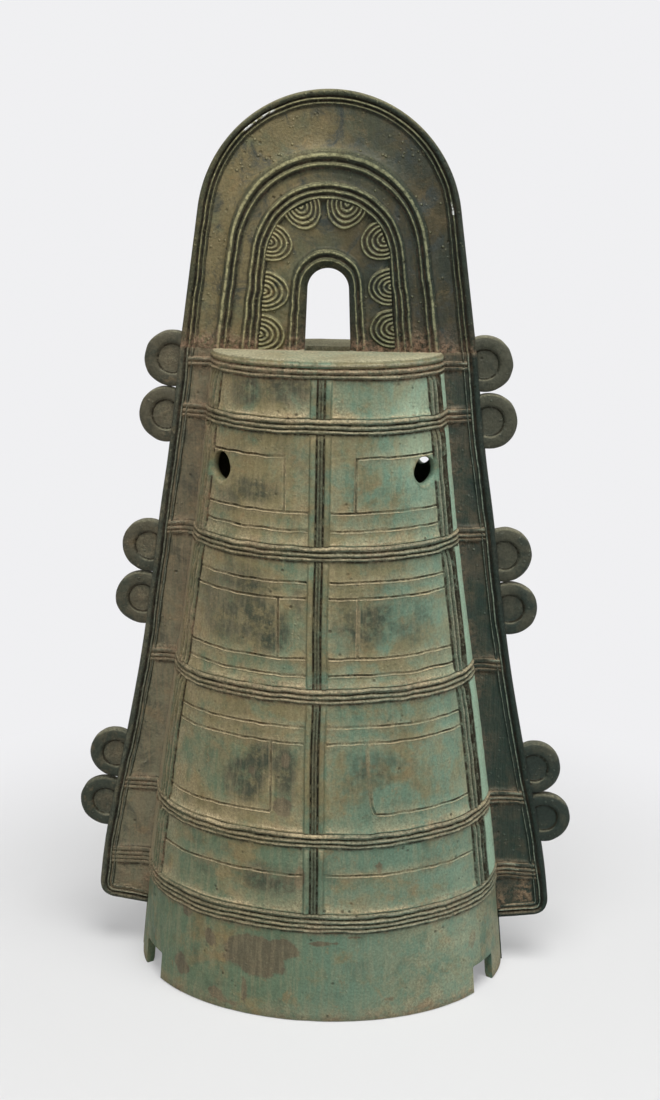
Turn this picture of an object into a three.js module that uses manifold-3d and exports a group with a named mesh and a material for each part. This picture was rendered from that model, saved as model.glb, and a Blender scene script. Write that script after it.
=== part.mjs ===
// A bronze bell of the flat oval kind: two body walls, a slotted top plate, an arched flat handle,
// ridged side fins with paired round ears, and a tongue that hangs on a link inside.
// Millimetres, +Z up. The mouth stands on z = 0, the fins lie along X, and -Y is the front.

import * as THREE from 'three';
import { mergeVertices } from 'three/addons/utils/BufferGeometryUtils.js';
import Module from 'manifold-3d';

const wasm = await Module();
wasm.setup();

// Body: an oval that widens from the top plate to the mouth
const bodyHeight = 438;
const mouthHalfWidth = 130.5;
const mouthHalfDepth = 94.6;
const topHalfWidth = 74;
const topHalfDepth = 53.7;
const wall = 6;
const flareBendShare = 0.033;
const jointGap = 0.3;

// Raised cord bands: the middle heights of the level ones as shares of the body's height, and the
// ridges that make them up
const bandShares = [0.1621, 0.2911, 0.51256, 0.7226, 0.90525];
const bandHeights = bandShares.map((share) => bodyHeight * share);
const bandRidgeCounts = [4, 3, 3, 3, 3];
const topBandRidgeCount = 2;
const ridgePitch = 3.4;
const ridgeHeight = 2;
const ridgeValleyShare = 0.3;
const postHalfWidth = 6.8;
const postHeight = 1.9;
const sidePostAngle = 23;

// Ridges across the posts, as shares of their half width and height. The middle post is given up to
// its own middle. A side post runs from the plain strip at the bell's side to the panel.
const middlePostShares = [[-1, 0], [-0.85, 1], [-0.54, 0.9], [-0.38, 0], [-0.2, 0.9], [0, 0.35]];
const stripShare = 0.7;
const sidePostShares = [
  [-1.24, stripShare], [-1.01, 0], [-0.85, 0.95], [-0.54, 0.9], [-0.38, 0], [-0.22, 0.95],
  [0.1, 0.95], [0.26, 0], [0.43, 0.95], [0.78, 0.95], [0.95, 0],
];

// Holes left by the casting core: two round ones in each wall and two notches at each mouth
const coreHoleRadius = 8.7;
const coreHoleHeight = bodyHeight * 0.8356;
const coreHoleAngle = 36;
const notchWidth = 24;
const notchHeight = 20;
const notchAngle = 26;

// Ridge inside the mouth that the tongue strikes
const strikeHeight = 44;
const strikeRidge = 3;
const strikeHalfWidth = 6;

// Top plate and its slot
const plateThickness = 5.5;
const plateRidgeShares = [0.25, 0.6];
const slotHalfWidth = 15;
const slotFront = 9;
const slotBack = 15;

// Handle: a flat arch that thins outwards from a thick inner arch to a ridged rim
const handleHeight = 162;
const totalHeight = bodyHeight + handleHeight;
const handleFootHalfWidth = 97;
const crownRadius = 85;
const openingTop = bodyHeight + handleHeight * 0.321;
const openingFootHalfWidth = 15;
const openingRadius = 13.5;
const handleRimThickness = 11;
const handleWebThickness = 7;
const handleThickness = 17;
const openingLand = 5;

// Fins
const finThickness = 7;
const finRimThickness = 11;
const finRimWidth = 10.5;
const finBottomHalfWidth = 163;
const finCornerHeight = 38;
const finInnerHeight = 33;
const finCornerRadius = 13;

// Round ears, three pairs on each fin
const earRadius = 18.4;
const earThickness = 8;
const earRecessRadius = 8.5;
const earRecessDepth = 2;
const earReach = 4.4;
const earPitch = 37.3;
const earPairShares = [0.9395, 0.64726, 0.29795];
const earPairHeights = earPairShares.map((share) => bodyHeight * share);

// Tongue and what it hangs on
const stapleRod = 8;
const stapleDrop = 26;
const staplePadRadius = 8;
const staplePadThickness = 3;
const staplePadMargin = 1.5;
const linkRod = 6;
const linkLength = 50;
const pinClearance = 0.3;
const eyeRadius = 11;
const eyeThickness = 6;
const tongueTip = 30;
const tongueNeckRadius = 7;
const tongueTipRadius = 14;

// Facets
const archSteps = 15;
const straightSteps = 3;
const ovalSteps = 44;
const earSteps = 20;
const rodSides = 10;
const rounds = 16;
const rodSteps = 18;

const overrun = 5;
const degree = Math.PI / 180;

const colours = {
  body: { color: 0x6a8170, roughness: 0.72, metalness: 0.25 },
  handle: { color: 0x6b6a52, roughness: 0.74, metalness: 0.25 },
  fin: { color: 0x5f6b58, roughness: 0.74, metalness: 0.25 },
  ear: { color: 0x50594d, roughness: 0.76, metalness: 0.25 },
  clapper: { color: 0x5b5340, roughness: 0.6, metalness: 0.5 },
};

const group = new THREE.Group();

function addPiece(name, geometry, look) {
  const piece = new THREE.Mesh(geometry, new THREE.MeshStandardMaterial(look));
  piece.name = name;
  group.add(piece);
  return piece;
}

function solid(geometry) {
  const bare = geometry.clone();
  bare.deleteAttribute('normal');
  bare.deleteAttribute('uv');
  const merged = mergeVertices(bare);
  const index = merged.index.array;
  return new wasm.Manifold(new wasm.Mesh({
    numProp: 3,
    vertProperties: new Float32Array(merged.attributes.position.array),
    triVerts: new Uint32Array(index),
  }));
}

function geometryOf(body) {
  const mesh = body.getMesh();
  const geometry = new THREE.BufferGeometry();
  geometry.setAttribute('position', new THREE.BufferAttribute(new Float32Array(mesh.vertProperties), 3));
  geometry.setIndex(new THREE.BufferAttribute(new Uint32Array(mesh.triVerts), 1));
  geometry.computeVertexNormals();
  return geometry;
}

// Triangles that close one flat ring of points
function capTriangles(ring) {
  const normal = new THREE.Vector3();
  ring.forEach((point, i) => {
    const next = ring[(i + 1) % ring.length];
    normal.add(new THREE.Vector3().crossVectors(point, next));
  });
  normal.normalize();
  const across = new THREE.Vector3(normal.z, normal.x, normal.y).cross(normal).normalize();
  const along = new THREE.Vector3().crossVectors(normal, across);
  const outline = ring.map((point) => new THREE.Vector2(point.dot(across), point.dot(along)));
  return THREE.ShapeUtils.triangulateShape(outline, []);
}

// A closed solid through rings of equally many points, with both end rings closed flat
function loft(rings) {
  const size = rings[0].length;
  const points = rings.flat();
  const triangles = [];
  for (let r = 0; r + 1 < rings.length; r += 1) {
    for (let i = 0; i < size; i += 1) {
      const a = r * size + i;
      const b = r * size + ((i + 1) % size);
      triangles.push([a, b, b + size], [a, b + size, a + size]);
    }
  }
  const last = (rings.length - 1) * size;
  capTriangles(rings[0]).forEach(([a, b, c]) => triangles.push([a, c, b]));
  capTriangles(rings.at(-1)).forEach(([a, b, c]) => triangles.push([last + a, last + b, last + c]));
  const volume = triangles.reduce((sum, [a, b, c]) => (
    sum + points[a].dot(new THREE.Vector3().crossVectors(points[b], points[c]))), 0);
  const index = triangles.flatMap(([a, b, c]) => (volume < 0 ? [a, c, b] : [a, b, c]));
  const geometry = new THREE.BufferGeometry();
  geometry.setAttribute('position', new THREE.Float32BufferAttribute(points.flatMap((p) => p.toArray()), 3));
  geometry.setIndex(index);
  geometry.computeVertexNormals();
  return geometry;
}

// A plate with its outline in X and Z and its thickness along Y
function plate(outline, thickness) {
  const shape = new THREE.Shape(outline.map(([x, z]) => new THREE.Vector2(x, z)));
  const geometry = new THREE.ExtrudeGeometry(shape, { depth: thickness, bevelEnabled: false });
  geometry.translate(0, 0, -thickness / 2);
  geometry.rotateX(Math.PI / 2);
  return geometry;
}

// A round pin or hole along Y
function crossPin(radius, length, x, z) {
  const pin = new THREE.CylinderGeometry(radius, radius, length, rounds);
  pin.translate(x, 0, z);
  return pin;
}

// A round rod along a path
function rod(path, diameter) {
  const section = new THREE.Shape();
  section.absarc(0, 0, diameter / 2, 0, 2 * Math.PI);
  return new THREE.ExtrudeGeometry(section, {
    steps: rodSteps, extrudePath: path, bevelEnabled: false, curveSegments: rodSides / 2,
  });
}

// The oval's half width and half depth at a height
function flare(z) {
  const share = z / bodyHeight;
  return share - flareBendShare * Math.sin(2 * Math.PI * share);
}

function halfWidth(z) {
  return mouthHalfWidth + (topHalfWidth - mouthHalfWidth) * flare(z);
}

function halfDepth(z) {
  return mouthHalfDepth + (topHalfDepth - mouthHalfDepth) * flare(z);
}

// The level direction that the oval looks in at a height and an angle from +X
function ovalNormal(z, angle) {
  const across = Math.cos(angle) / halfWidth(z);
  const forward = Math.sin(angle) / halfDepth(z);
  return new THREE.Vector3(across, -forward, 0).normalize();
}

// A point of the oval at a height and an angle from +X, moved out along the level normal
function ovalPoint(z, angle, out) {
  const foot = new THREE.Vector3(halfWidth(z) * Math.cos(angle), -halfDepth(z) * Math.sin(angle), z);
  return foot.addScaledVector(ovalNormal(z, angle), out);
}

const plateBottom = bodyHeight - plateThickness;
const wallTop = plateBottom - jointGap;
const seamHalfWidth = finThickness / 2 + jointGap;

// Rows of one cord band: heights from its middle, with how far each stands out
function ridgeRows(middle, count) {
  const rows = [];
  const start = middle - (count * ridgePitch) / 2;
  rows.push({ z: start, out: 0 });
  for (let i = 0; i < count; i += 1) {
    rows.push({ z: start + (i + 0.5) * ridgePitch, out: ridgeHeight });
    const lastRidge = i === count - 1;
    rows.push({ z: start + (i + 1) * ridgePitch, out: lastRidge ? 0 : ridgeHeight * ridgeValleyShare });
  }
  return rows;
}

// Rows of the outer face, from the mouth up
function outerRows() {
  const skirtTop = bandHeights[0] - (bandRidgeCounts[0] * ridgePitch) / 2;
  const rows = [{ z: 0, out: 0 }, { z: skirtTop / 2, out: 0 }];
  bandHeights.forEach((middle, i) => {
    rows.push(...ridgeRows(middle, bandRidgeCounts[i]));
    const top = middle + (bandRidgeCounts[i] * ridgePitch) / 2;
    const next = i + 1 < bandHeights.length
      ? bandHeights[i + 1] - (bandRidgeCounts[i + 1] * ridgePitch) / 2
      : wallTop - topBandRidgeCount * ridgePitch;
    rows.push({ z: (top + next) / 2, out: 0, post: true });
  });
  rows.push(...ridgeRows(wallTop - (topBandRidgeCount * ridgePitch) / 2, topBandRidgeCount));
  rows.at(-1).z = wallTop;
  return rows;
}

// Rows of the inner face, from the wall's top down to the mouth
function innerRows() {
  const above = [1, 0.8, 0.6, 0.4, 0.2].map((share) => {
    const low = strikeHeight + strikeHalfWidth;
    return { z: low + (wallTop - low) * share, out: -wall };
  });
  return [
    ...above,
    { z: strikeHeight + strikeHalfWidth, out: -wall },
    { z: strikeHeight, out: -wall - strikeRidge },
    { z: strikeHeight - strikeHalfWidth, out: -wall },
    { z: 0, out: -wall },
  ];
}

// Columns of the face: each has an angle from +X at the row's height, and may stand on a post
function faceColumns() {
  const onPost = (post, shares) => shares.map(([place, rise]) => (
    { post, offset: place * postHalfWidth, out: rise * postHeight }));
  const half = [
    { side: true, out: stripShare * postHeight },
    ...onPost('side', sidePostShares),
    { between: 0.2 }, { between: 0.4 }, { between: 0.6 }, { between: 0.8 },
    ...onPost('middle', middlePostShares),
  ];
  const mirrored = half.slice(0, -1).map((column) => ({ ...column, mirrored: true })).reverse();
  return [...half, ...mirrored];
}

function columnAngle(column, z) {
  const a = halfWidth(z);
  const b = halfDepth(z);
  const turn = sidePostAngle * degree;
  const run = Math.hypot(a * Math.sin(turn), b * Math.cos(turn));
  const sideFoot = turn + (sidePostShares.at(-1)[0] * postHalfWidth) / run;
  const middleFoot = Math.PI / 2 - postHalfWidth / a;
  let angle = 0;
  if (column.between) angle = sideFoot + (middleFoot - sideFoot) * column.between;
  if (column.post === 'side') angle = turn + column.offset / run;
  if (column.post === 'middle') angle = Math.PI / 2 + column.offset / a;
  return column.mirrored ? Math.PI - angle : angle;
}

// One wall of the body, cut off flat where the fins' roots stand between the two walls
function bodyWall(name, turn) {
  const outer = outerRows();
  const inner = innerRows();
  const bandTop = bandHeights[0];
  const rings = faceColumns().map((column) => {
    const ring = outer.map((row) => {
      const onPost = column.out && row.z > bandTop && row.z < wallTop - ridgePitch;
      return facePoint(column, row.z, Math.max(row.out, onPost ? column.out : 0));
    });
    inner.forEach((row) => ring.push(facePoint(column, row.z, row.out)));
    return ring;
  });
  let body = solid(loft(rings));
  [coreHoleAngle, 180 - coreHoleAngle].forEach((angle) => {
    body = body.subtract(solid(coreHole(angle * degree)));
  });
  [notchAngle, 180 - notchAngle].forEach((angle) => {
    body = body.subtract(solid(mouthNotch(angle * degree)));
  });
  const piece = addPiece(name, geometryOf(body), colours.body);
  piece.rotation.z = turn;
}

function facePoint(column, z, out) {
  if (!column.side) return ovalPoint(z, columnAngle(column, z), out);
  const a = halfWidth(z) + out;
  const b = halfDepth(z) + out;
  const x = a * Math.sqrt(1 - (seamHalfWidth / b) ** 2);
  return new THREE.Vector3(column.mirrored ? -x : x, -seamHalfWidth, z);
}

function coreHole(angle) {
  const length = 2 * (wall + overrun);
  const cutter = new THREE.CylinderGeometry(coreHoleRadius, coreHoleRadius, length, rounds);
  cutter.applyQuaternion(new THREE.Quaternion().setFromUnitVectors(
    new THREE.Vector3(0, 1, 0),
    ovalNormal(coreHoleHeight, angle),
  ));
  return cutter.translate(...ovalPoint(coreHoleHeight, angle, -wall / 2).toArray());
}

function mouthNotch(angle) {
  const depth = 2 * (wall + overrun);
  const cutter = new THREE.BoxGeometry(notchWidth, depth, notchHeight + overrun);
  const direction = ovalNormal(0, angle);
  cutter.rotateZ(Math.atan2(direction.y, direction.x) + Math.PI / 2);
  cutter.translate(...ovalPoint((notchHeight - overrun) / 2, angle, -wall / 2).toArray());
  return cutter;
}

// The plate that closes the body, with its edge as the uppermost ridge of the top band
function topPlate() {
  const edge = [
    { z: plateBottom, out: 0 },
    ...plateRidgeShares.map((share) => ({ z: plateBottom + plateThickness * share, out: ridgeHeight })),
    { z: bodyHeight, out: 0 },
  ];
  const rings = edge.map(({ z, out }) => Array.from({ length: ovalSteps }, (_, i) => (
    ovalPoint(z, (i * 2 * Math.PI) / ovalSteps, out))));
  const slot = new THREE.BoxGeometry(2 * slotHalfWidth, slotFront + slotBack, plateThickness + 2 * overrun);
  slot.translate(0, (slotBack - slotFront) / 2, bodyHeight - plateThickness / 2);
  addPiece('top_plate', geometryOf(solid(loft(rings)).subtract(solid(slot))), colours.body);
}

// One arch in the XZ plane: straight legs up from the foot, meeting a round crown without a corner
function archLine(footHalfWidth, foot, radius, crown) {
  const centre = crown - radius;
  const down = foot - centre;
  const start = Math.atan2(down, footHalfWidth) + Math.acos(radius / Math.hypot(footHalfWidth, down));
  const line = [];
  for (let i = 0; i < straightSteps; i += 1) {
    const share = i / straightSteps;
    line.push([
      footHalfWidth + (radius * Math.cos(start) - footHalfWidth) * share,
      foot + (centre + radius * Math.sin(start) - foot) * share,
    ]);
  }
  for (let i = 0; i <= archSteps; i += 1) {
    const angle = start + ((Math.PI - 2 * start) * i) / archSteps;
    line.push([radius * Math.cos(angle), centre + radius * Math.sin(angle)]);
  }
  for (let i = straightSteps - 1; i >= 0; i -= 1) line.push([-line[i][0], line[i][1]]);
  return line;
}

// Rows of the handle's face from the outer edge to the opening. Each is placed by its share of the
// way inwards at the crown and at the feet, and stands at a half thickness.
function handleRows() {
  const rim = handleRimThickness / 2;
  const web = handleWebThickness / 2;
  const top = handleThickness / 2;
  const valley = top - ridgeHeight * (1 - ridgeValleyShare);
  const rimValley = rim - ridgeHeight * (1 - ridgeValleyShare);
  const floor = top - ridgeHeight;
  const shares = {
    edge: [0, 0],
    rimRidges: [[0.012, 0.02], [0.027, 0.042], [0.042, 0.065], [0.055, 0.088], [0.068, 0.11]],
    rimFoot: [0.08, 0.13],
    webMiddle: [0.2, 0.21],
    doubleFoot: [0.335, 0.29],
    doubleRidges: [[0.365, 0.315], [0.393, 0.345], [0.42, 0.37]],
    doubleEnd: [0.44, 0.4],
    tripleFoot: [0.505, 0.49],
    tripleRidges: [[0.523, 0.515], [0.541, 0.54], [0.56, 0.565], [0.579, 0.59], [0.597, 0.615]],
    tripleEnd: [0.615, 0.64],
    openingRidgeFoot: [0.885, 0.865],
    openingRidges: [[0.9, 0.89], [0.915, 0.92], [0.93, 0.955]],
    throat: [1, 1],
  };
  const ridges = (places, high, low) => places.map((place, i) => ({ place, half: i % 2 ? low : high }));
  return [
    { place: shares.edge, half: rimValley / 2 },
    ...ridges(shares.rimRidges, rim, rimValley),
    { place: shares.rimFoot, half: web },
    { place: shares.webMiddle, half: web },
    { place: shares.doubleFoot, half: floor },
    ...ridges(shares.doubleRidges, top, valley),
    { place: shares.doubleEnd, half: floor },
    { place: shares.tripleFoot, half: floor },
    ...ridges(shares.tripleRidges, top, valley),
    { place: shares.tripleEnd, half: floor },
    { place: shares.openingRidgeFoot, half: floor },
    ...ridges(shares.openingRidges, top, valley),
    { place: shares.throat, half: openingLand / 2 },
  ];
}

function handle() {
  const foot = bodyHeight + jointGap;
  const mix = (outer, inner, share) => outer + (inner - outer) * share;
  const lines = handleRows().map(({ place: [crownShare, footShare], half }) => ({
    half,
    line: archLine(
      mix(handleFootHalfWidth, openingFootHalfWidth, footShare),
      foot,
      mix(crownRadius, openingRadius, footShare),
      mix(totalHeight, openingTop, crownShare),
    ),
  }));
  const rings = lines[0].line.map((_, step) => {
    const front = lines.map(({ line, half }) => new THREE.Vector3(line[step][0], -half, line[step][1]));
    const back = lines.map(({ line, half }) => new THREE.Vector3(line[step][0], half, line[step][1]));
    return [...front, ...back.reverse()];
  });
  addPiece('handle', loft(rings), colours.handle);
}

// The fin's outer edge: half widths at heights, as shares of its way down from the handle's foot
const finEdgeShares = [[0, 0], [0.16, 0.12], [0.28, 0.235], [0.5, 0.43], [0.66, 0.615], [0.87, 0.89], [1, 1]];

const finEdge = new THREE.SplineCurve(finEdgeShares.map(([down, out]) => new THREE.Vector2(
  handleFootHalfWidth + (finBottomHalfWidth - handleFootHalfWidth) * out,
  bodyHeight + (finCornerHeight - bodyHeight) * down,
)));

const finEdgeLine = finEdge.getPoints(finEdgeShares.length * straightSteps);

function finHalfWidth(z) {
  const next = finEdgeLine.findIndex((point) => point.y <= z);
  if (next <= 0) return finEdgeLine.at(next).x;
  const low = finEdgeLine[next];
  const high = finEdgeLine[next - 1];
  return low.x + ((high.x - low.x) * (z - low.y)) / (high.y - low.y);
}

// The edge from the handle's foot down, round the lower corner and in along the bottom to the wall
function finOutline() {
  const corner = new THREE.Vector2(finHalfWidth(finCornerHeight), finCornerHeight);
  const inner = new THREE.Vector2(halfWidth(finInnerHeight), finInnerHeight);
  const above = new THREE.Vector2(finHalfWidth(finCornerHeight + finCornerRadius),
    finCornerHeight + finCornerRadius);
  const inwards = inner.clone().sub(corner).normalize().multiplyScalar(finCornerRadius);
  const round = new THREE.QuadraticBezierCurve(above, corner, corner.clone().add(inwards));
  const upper = finEdgeLine.filter((point) => point.y > above.y + finCornerRadius / 4);
  return [...upper, ...round.getPoints(straightSteps + 1), inner];
}

// Ridged rim swept along the outline
function finRim(outline) {
  const high = finRimThickness / 2;
  const low = high - ridgeHeight * (1 - ridgeValleyShare);
  const ridgeShares = [0.12, 0.3, 0.48, 0.66, 0.84];
  const section = [
    [0, low / 2],
    ...ridgeShares.map((share, i) => [share, i % 2 ? low : high]),
    [1, finThickness / 4],
  ];
  const rings = outline.map((point, i) => {
    const before = outline[Math.max(i - 1, 0)];
    const after = outline[Math.min(i + 1, outline.length - 1)];
    const along = after.clone().sub(before).normalize();
    let inward = new THREE.Vector2(along.y, -along.x);
    let reach = finRimWidth;
    if (i === 0) {
      inward = new THREE.Vector2(-1, 0);
      reach = finRimWidth / Math.abs(along.y);
    }
    if (i === outline.length - 1) {
      inward = new THREE.Vector2(0, 1);
      reach = finRimWidth / Math.abs(along.x);
    }
    const place = ([share, half]) => new THREE.Vector3(
      point.x + inward.x * reach * share, half, point.y + inward.y * reach * share);
    const back = section.map(place);
    const front = section.map(([share, half]) => place([share, -half]));
    return [...back, ...front.reverse()];
  });
  return solid(loft(rings));
}

// Cord band ends on the fin: ridges that run from the wall out to the rim, on both faces
function finRidges() {
  const high = finThickness / 2 + ridgeHeight * (1 - ridgeValleyShare);
  const low = finThickness / 4;
  const counts = [...bandRidgeCounts, topBandRidgeCount];
  const middles = [...bandHeights, wallTop - (topBandRidgeCount * ridgePitch) / 2];
  const ridges = [];
  middles.forEach((middle, i) => {
    for (let n = 0; n < counts[i]; n += 1) {
      const z = middle + (n - (counts[i] - 1) / 2) * ridgePitch;
      const half = ridgePitch / 2;
      const section = [[-half, low], [0, high], [half, low], [half, -low], [0, -high], [-half, -low]];
      const starts = halfWidth(z - half) + ridgeHeight + jointGap;
      const ends = finHalfWidth(z) - finRimWidth / 2;
      ridges.push(solid(loft([starts, ends].map((x) => (
        section.map(([rise, y]) => new THREE.Vector3(x, y, z + rise)))))));
    }
  });
  return ridges;
}

// A fin: its root stands between the two walls down to the mouth, its web carries the ridges
function fin(name, turn) {
  const outline = finOutline();
  const rootSteps = Math.round(outerRows().length / 4);
  const root = [];
  const skirt = [];
  for (let i = 0; i <= rootSteps; i += 1) {
    const z = (wallTop * i) / rootSteps;
    root.push([halfWidth(z) - wall, z]);
  }
  for (let i = 0; i < straightSteps; i += 1) {
    const z = (finInnerHeight * i) / straightSteps;
    skirt.push([halfWidth(z), z]);
  }
  const plateEdge = halfWidth(plateBottom) + ridgeHeight + jointGap;
  const web = [
    ...root,
    [plateEdge, wallTop],
    [plateEdge, bodyHeight],
    ...outline.map((point) => [point.x, point.y]),
    ...skirt.reverse(),
  ];
  let body = solid(plate(web, finThickness));
  body = body.add(finRim(outline));
  finRidges().forEach((ridge) => {
    body = body.add(ridge);
  });
  const piece = addPiece(name, geometryOf(body), colours.fin);
  piece.rotation.z = turn;
}

// A round ear with a sunk middle, cut off along the fin's edge that it is joined to
function ear(name, side, height) {
  const half = earThickness / 2;
  const sunk = half - earRecessDepth;
  const profile = [
    [0, -sunk], [earRecessRadius, -sunk], [earRecessRadius + earRecessDepth, -half],
    [earRadius - earRecessDepth, -half], [earRadius, -half / 2], [earRadius, half / 2],
    [earRadius - earRecessDepth, half], [earRecessRadius + earRecessDepth, half],
    [earRecessRadius, sunk], [0, sunk],
  ].map(([r, y]) => new THREE.Vector2(r, y));
  const x = finHalfWidth(height) + earReach;
  const disc = new THREE.LatheGeometry(profile, earSteps).translate(x, 0, height);
  const high = height + earRadius + overrun;
  const low = height - earRadius - overrun;
  const edge = [high, (high + height) / 2, height, (low + height) / 2, low].map((z) => (
    [finHalfWidth(z) + jointGap, z]));
  const cutter = plate([[0, low], [0, high], ...edge], earThickness + 2 * overrun);
  const piece = addPiece(name, geometryOf(solid(disc).subtract(solid(cutter))), colours.ear);
  if (side < 0) piece.rotation.z = Math.PI;
}

// Staple under the plate: two pads and a bent bar between them
const barHeight = plateBottom - stapleDrop;
const stapleHalfWidth = slotHalfWidth + staplePadMargin + staplePadRadius;

function staple() {
  const top = plateBottom - jointGap;
  const bend = stapleRod;
  const x = stapleHalfWidth;
  const path = new THREE.CurvePath();
  const corner = (sign) => new THREE.QuadraticBezierCurve3(
    new THREE.Vector3(x * sign, 0, barHeight + bend),
    new THREE.Vector3(x * sign, 0, barHeight),
    new THREE.Vector3((x - bend) * sign, 0, barHeight),
  );
  const right = corner(1);
  const left = corner(-1);
  const topRight = new THREE.Vector3(x, 0, top - staplePadThickness / 2);
  const topLeft = new THREE.Vector3(-x, 0, top - staplePadThickness / 2);
  path.add(new THREE.LineCurve3(topRight, right.v0));
  path.add(right);
  path.add(new THREE.LineCurve3(right.v2, left.v2));
  path.add(new THREE.QuadraticBezierCurve3(left.v2, left.v1, left.v0));
  path.add(new THREE.LineCurve3(left.v0, topLeft));
  let body = solid(rod(path, stapleRod));
  [1, -1].forEach((sign) => {
    const pad = new THREE.CylinderGeometry(staplePadRadius, staplePadRadius, staplePadThickness, rounds);
    pad.rotateX(Math.PI / 2).translate(x * sign, 0, top - staplePadThickness / 2);
    body = body.add(solid(pad));
  });
  addPiece('clapper_staple', geometryOf(body), colours.clapper);
}

// Long link round the staple's bar, in the YZ plane
const bowRadius = stapleRod / 2 + pinClearance + linkRod / 2;
const linkBottom = barHeight - linkLength - bowRadius;

function link() {
  const rings = [];
  const steps = rounds / 2;
  const middles = [];
  for (let i = 0; i <= steps; i += 1) {
    const angle = (Math.PI * i) / steps;
    middles.push([angle, barHeight]);
  }
  for (let i = 0; i <= steps; i += 1) {
    const angle = Math.PI + (Math.PI * i) / steps;
    middles.push([angle, barHeight - linkLength]);
  }
  middles.forEach(([angle, centre]) => {
    rings.push(Array.from({ length: rodSides }, (_, i) => {
      const turn = (i * 2 * Math.PI) / rodSides;
      const reach = bowRadius + (linkRod / 2) * Math.cos(turn);
      return new THREE.Vector3(
        (linkRod / 2) * Math.sin(turn),
        reach * Math.cos(angle),
        centre + reach * Math.sin(angle),
      );
    }));
  });
  addPiece('clapper_link', closedLoft(rings), colours.clapper);
}

// A ring-shaped solid: the last ring joins the first
function closedLoft(rings) {
  const size = rings[0].length;
  const points = rings.flat();
  const index = [];
  rings.forEach((_, r) => {
    for (let i = 0; i < size; i += 1) {
      const next = ((r + 1) % rings.length) * size;
      const a = r * size + i;
      const b = r * size + ((i + 1) % size);
      const c = next + i;
      const d = next + ((i + 1) % size);
      index.push(a, d, b, a, c, d);
    }
  });
  const geometry = new THREE.BufferGeometry();
  geometry.setAttribute('position', new THREE.Float32BufferAttribute(points.flatMap((p) => p.toArray()), 3));
  geometry.setIndex(index);
  geometry.computeVertexNormals();
  return geometry;
}

// Tongue: a flat eye that rides on the link's lower bow, and a rod that swells to its striking end
function tongue() {
  const bowInside = bowRadius - linkRod / 2;
  const rise = bowRadius - Math.sqrt(bowInside ** 2 - (eyeThickness / 2) ** 2);
  const holeRadius = (rise + pinClearance) / Math.cos(Math.PI / rounds);
  const swell = tongueTipRadius - tongueNeckRadius;
  const length = linkBottom - eyeRadius - tongueTip;
  const endShares = [[0, 0], [0.7, 0], [0.95, 0.03]];
  const shaftShares = [[1, 0.1], [0.9, 0.2], [0.45, 0.38], [0.15, 0.6], [0, 0.85], [0, 1]];
  const neckTop = linkBottom - (holeRadius + eyeRadius) / 2;
  const profile = [
    ...endShares.map(([out, up]) => [tongueTipRadius * out, tongueTip + length * up]),
    ...shaftShares.map(([out, up]) => [tongueNeckRadius + swell * out, tongueTip + length * up]),
    [tongueNeckRadius, neckTop],
    [0, neckTop],
  ].map(([radius, z]) => new THREE.Vector2(radius, z));
  const shaft = new THREE.LatheGeometry(profile, rounds).rotateX(Math.PI / 2);
  let body = solid(shaft);
  body = body.add(solid(crossPin(eyeRadius, eyeThickness, 0, linkBottom)));
  body = body.subtract(solid(crossPin(holeRadius, eyeThickness + 2 * overrun, 0, linkBottom)));
  addPiece('clapper_tongue', geometryOf(body), colours.clapper);
}

bodyWall('front_wall', 0);
bodyWall('back_wall', Math.PI);
topPlate();
handle();
fin('fin_right', 0);
fin('fin_left', Math.PI);
const earHeights = earPairHeights.flatMap((middle) => [middle + earPitch / 2, middle - earPitch / 2]);
earHeights.forEach((height, i) => {
  ear(`ear_right_${i + 1}`, 1, height);
  ear(`ear_left_${i + 1}`, -1, height);
});
staple();
link();
tongue();

export default group;
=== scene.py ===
import math

import bpy
import numpy as np
from mathutils import Matrix, Vector


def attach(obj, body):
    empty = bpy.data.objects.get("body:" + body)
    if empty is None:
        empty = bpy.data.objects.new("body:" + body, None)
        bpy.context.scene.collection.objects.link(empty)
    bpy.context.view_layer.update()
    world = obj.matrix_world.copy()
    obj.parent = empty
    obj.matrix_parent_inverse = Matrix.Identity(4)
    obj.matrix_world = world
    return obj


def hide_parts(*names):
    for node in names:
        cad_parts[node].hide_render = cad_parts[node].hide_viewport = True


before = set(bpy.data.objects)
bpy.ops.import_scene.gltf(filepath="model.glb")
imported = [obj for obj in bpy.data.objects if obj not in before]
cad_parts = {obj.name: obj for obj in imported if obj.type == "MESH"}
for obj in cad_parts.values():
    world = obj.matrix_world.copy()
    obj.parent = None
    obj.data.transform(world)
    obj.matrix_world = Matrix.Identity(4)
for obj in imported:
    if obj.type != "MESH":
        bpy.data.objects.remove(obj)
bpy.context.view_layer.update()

mm = 0.001

# A piece's sizes are in millimetres here and become metres when its mesh is shaped.
# +Z is up, the fins lie along X and the front faces -Y.


# Small tools that every piece uses

def deselectAll():
    if bpy.context.mode != "OBJECT":
        bpy.ops.object.mode_set(mode="OBJECT")
    bpy.ops.object.select_all(action="DESELECT")


def pick(piece):
    deselectAll()
    piece.select_set(True)
    bpy.context.view_layer.objects.active = piece
    return piece


def editAll(piece, *steps):
    pick(piece)
    bpy.ops.object.mode_set(mode="EDIT")
    bpy.ops.mesh.select_all(action="SELECT")
    for step in steps:
        step()
    bpy.ops.object.mode_set(mode="OBJECT")


def mergeDoubles():
    bpy.ops.mesh.remove_doubles(threshold=0.00002)


def dropLoose():
    bpy.ops.mesh.delete_loose(use_verts=True, use_edges=True, use_faces=False)


def closeHoles():
    bpy.ops.mesh.select_mode(type="EDGE")
    bpy.ops.mesh.select_all(action="DESELECT")
    bpy.ops.mesh.select_non_manifold()
    bpy.ops.mesh.fill_holes(sides=0)
    bpy.ops.mesh.select_all(action="SELECT")


def faceOutwards():
    bpy.ops.mesh.select_all(action="SELECT")
    bpy.ops.mesh.normals_make_consistent(inside=False)


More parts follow.
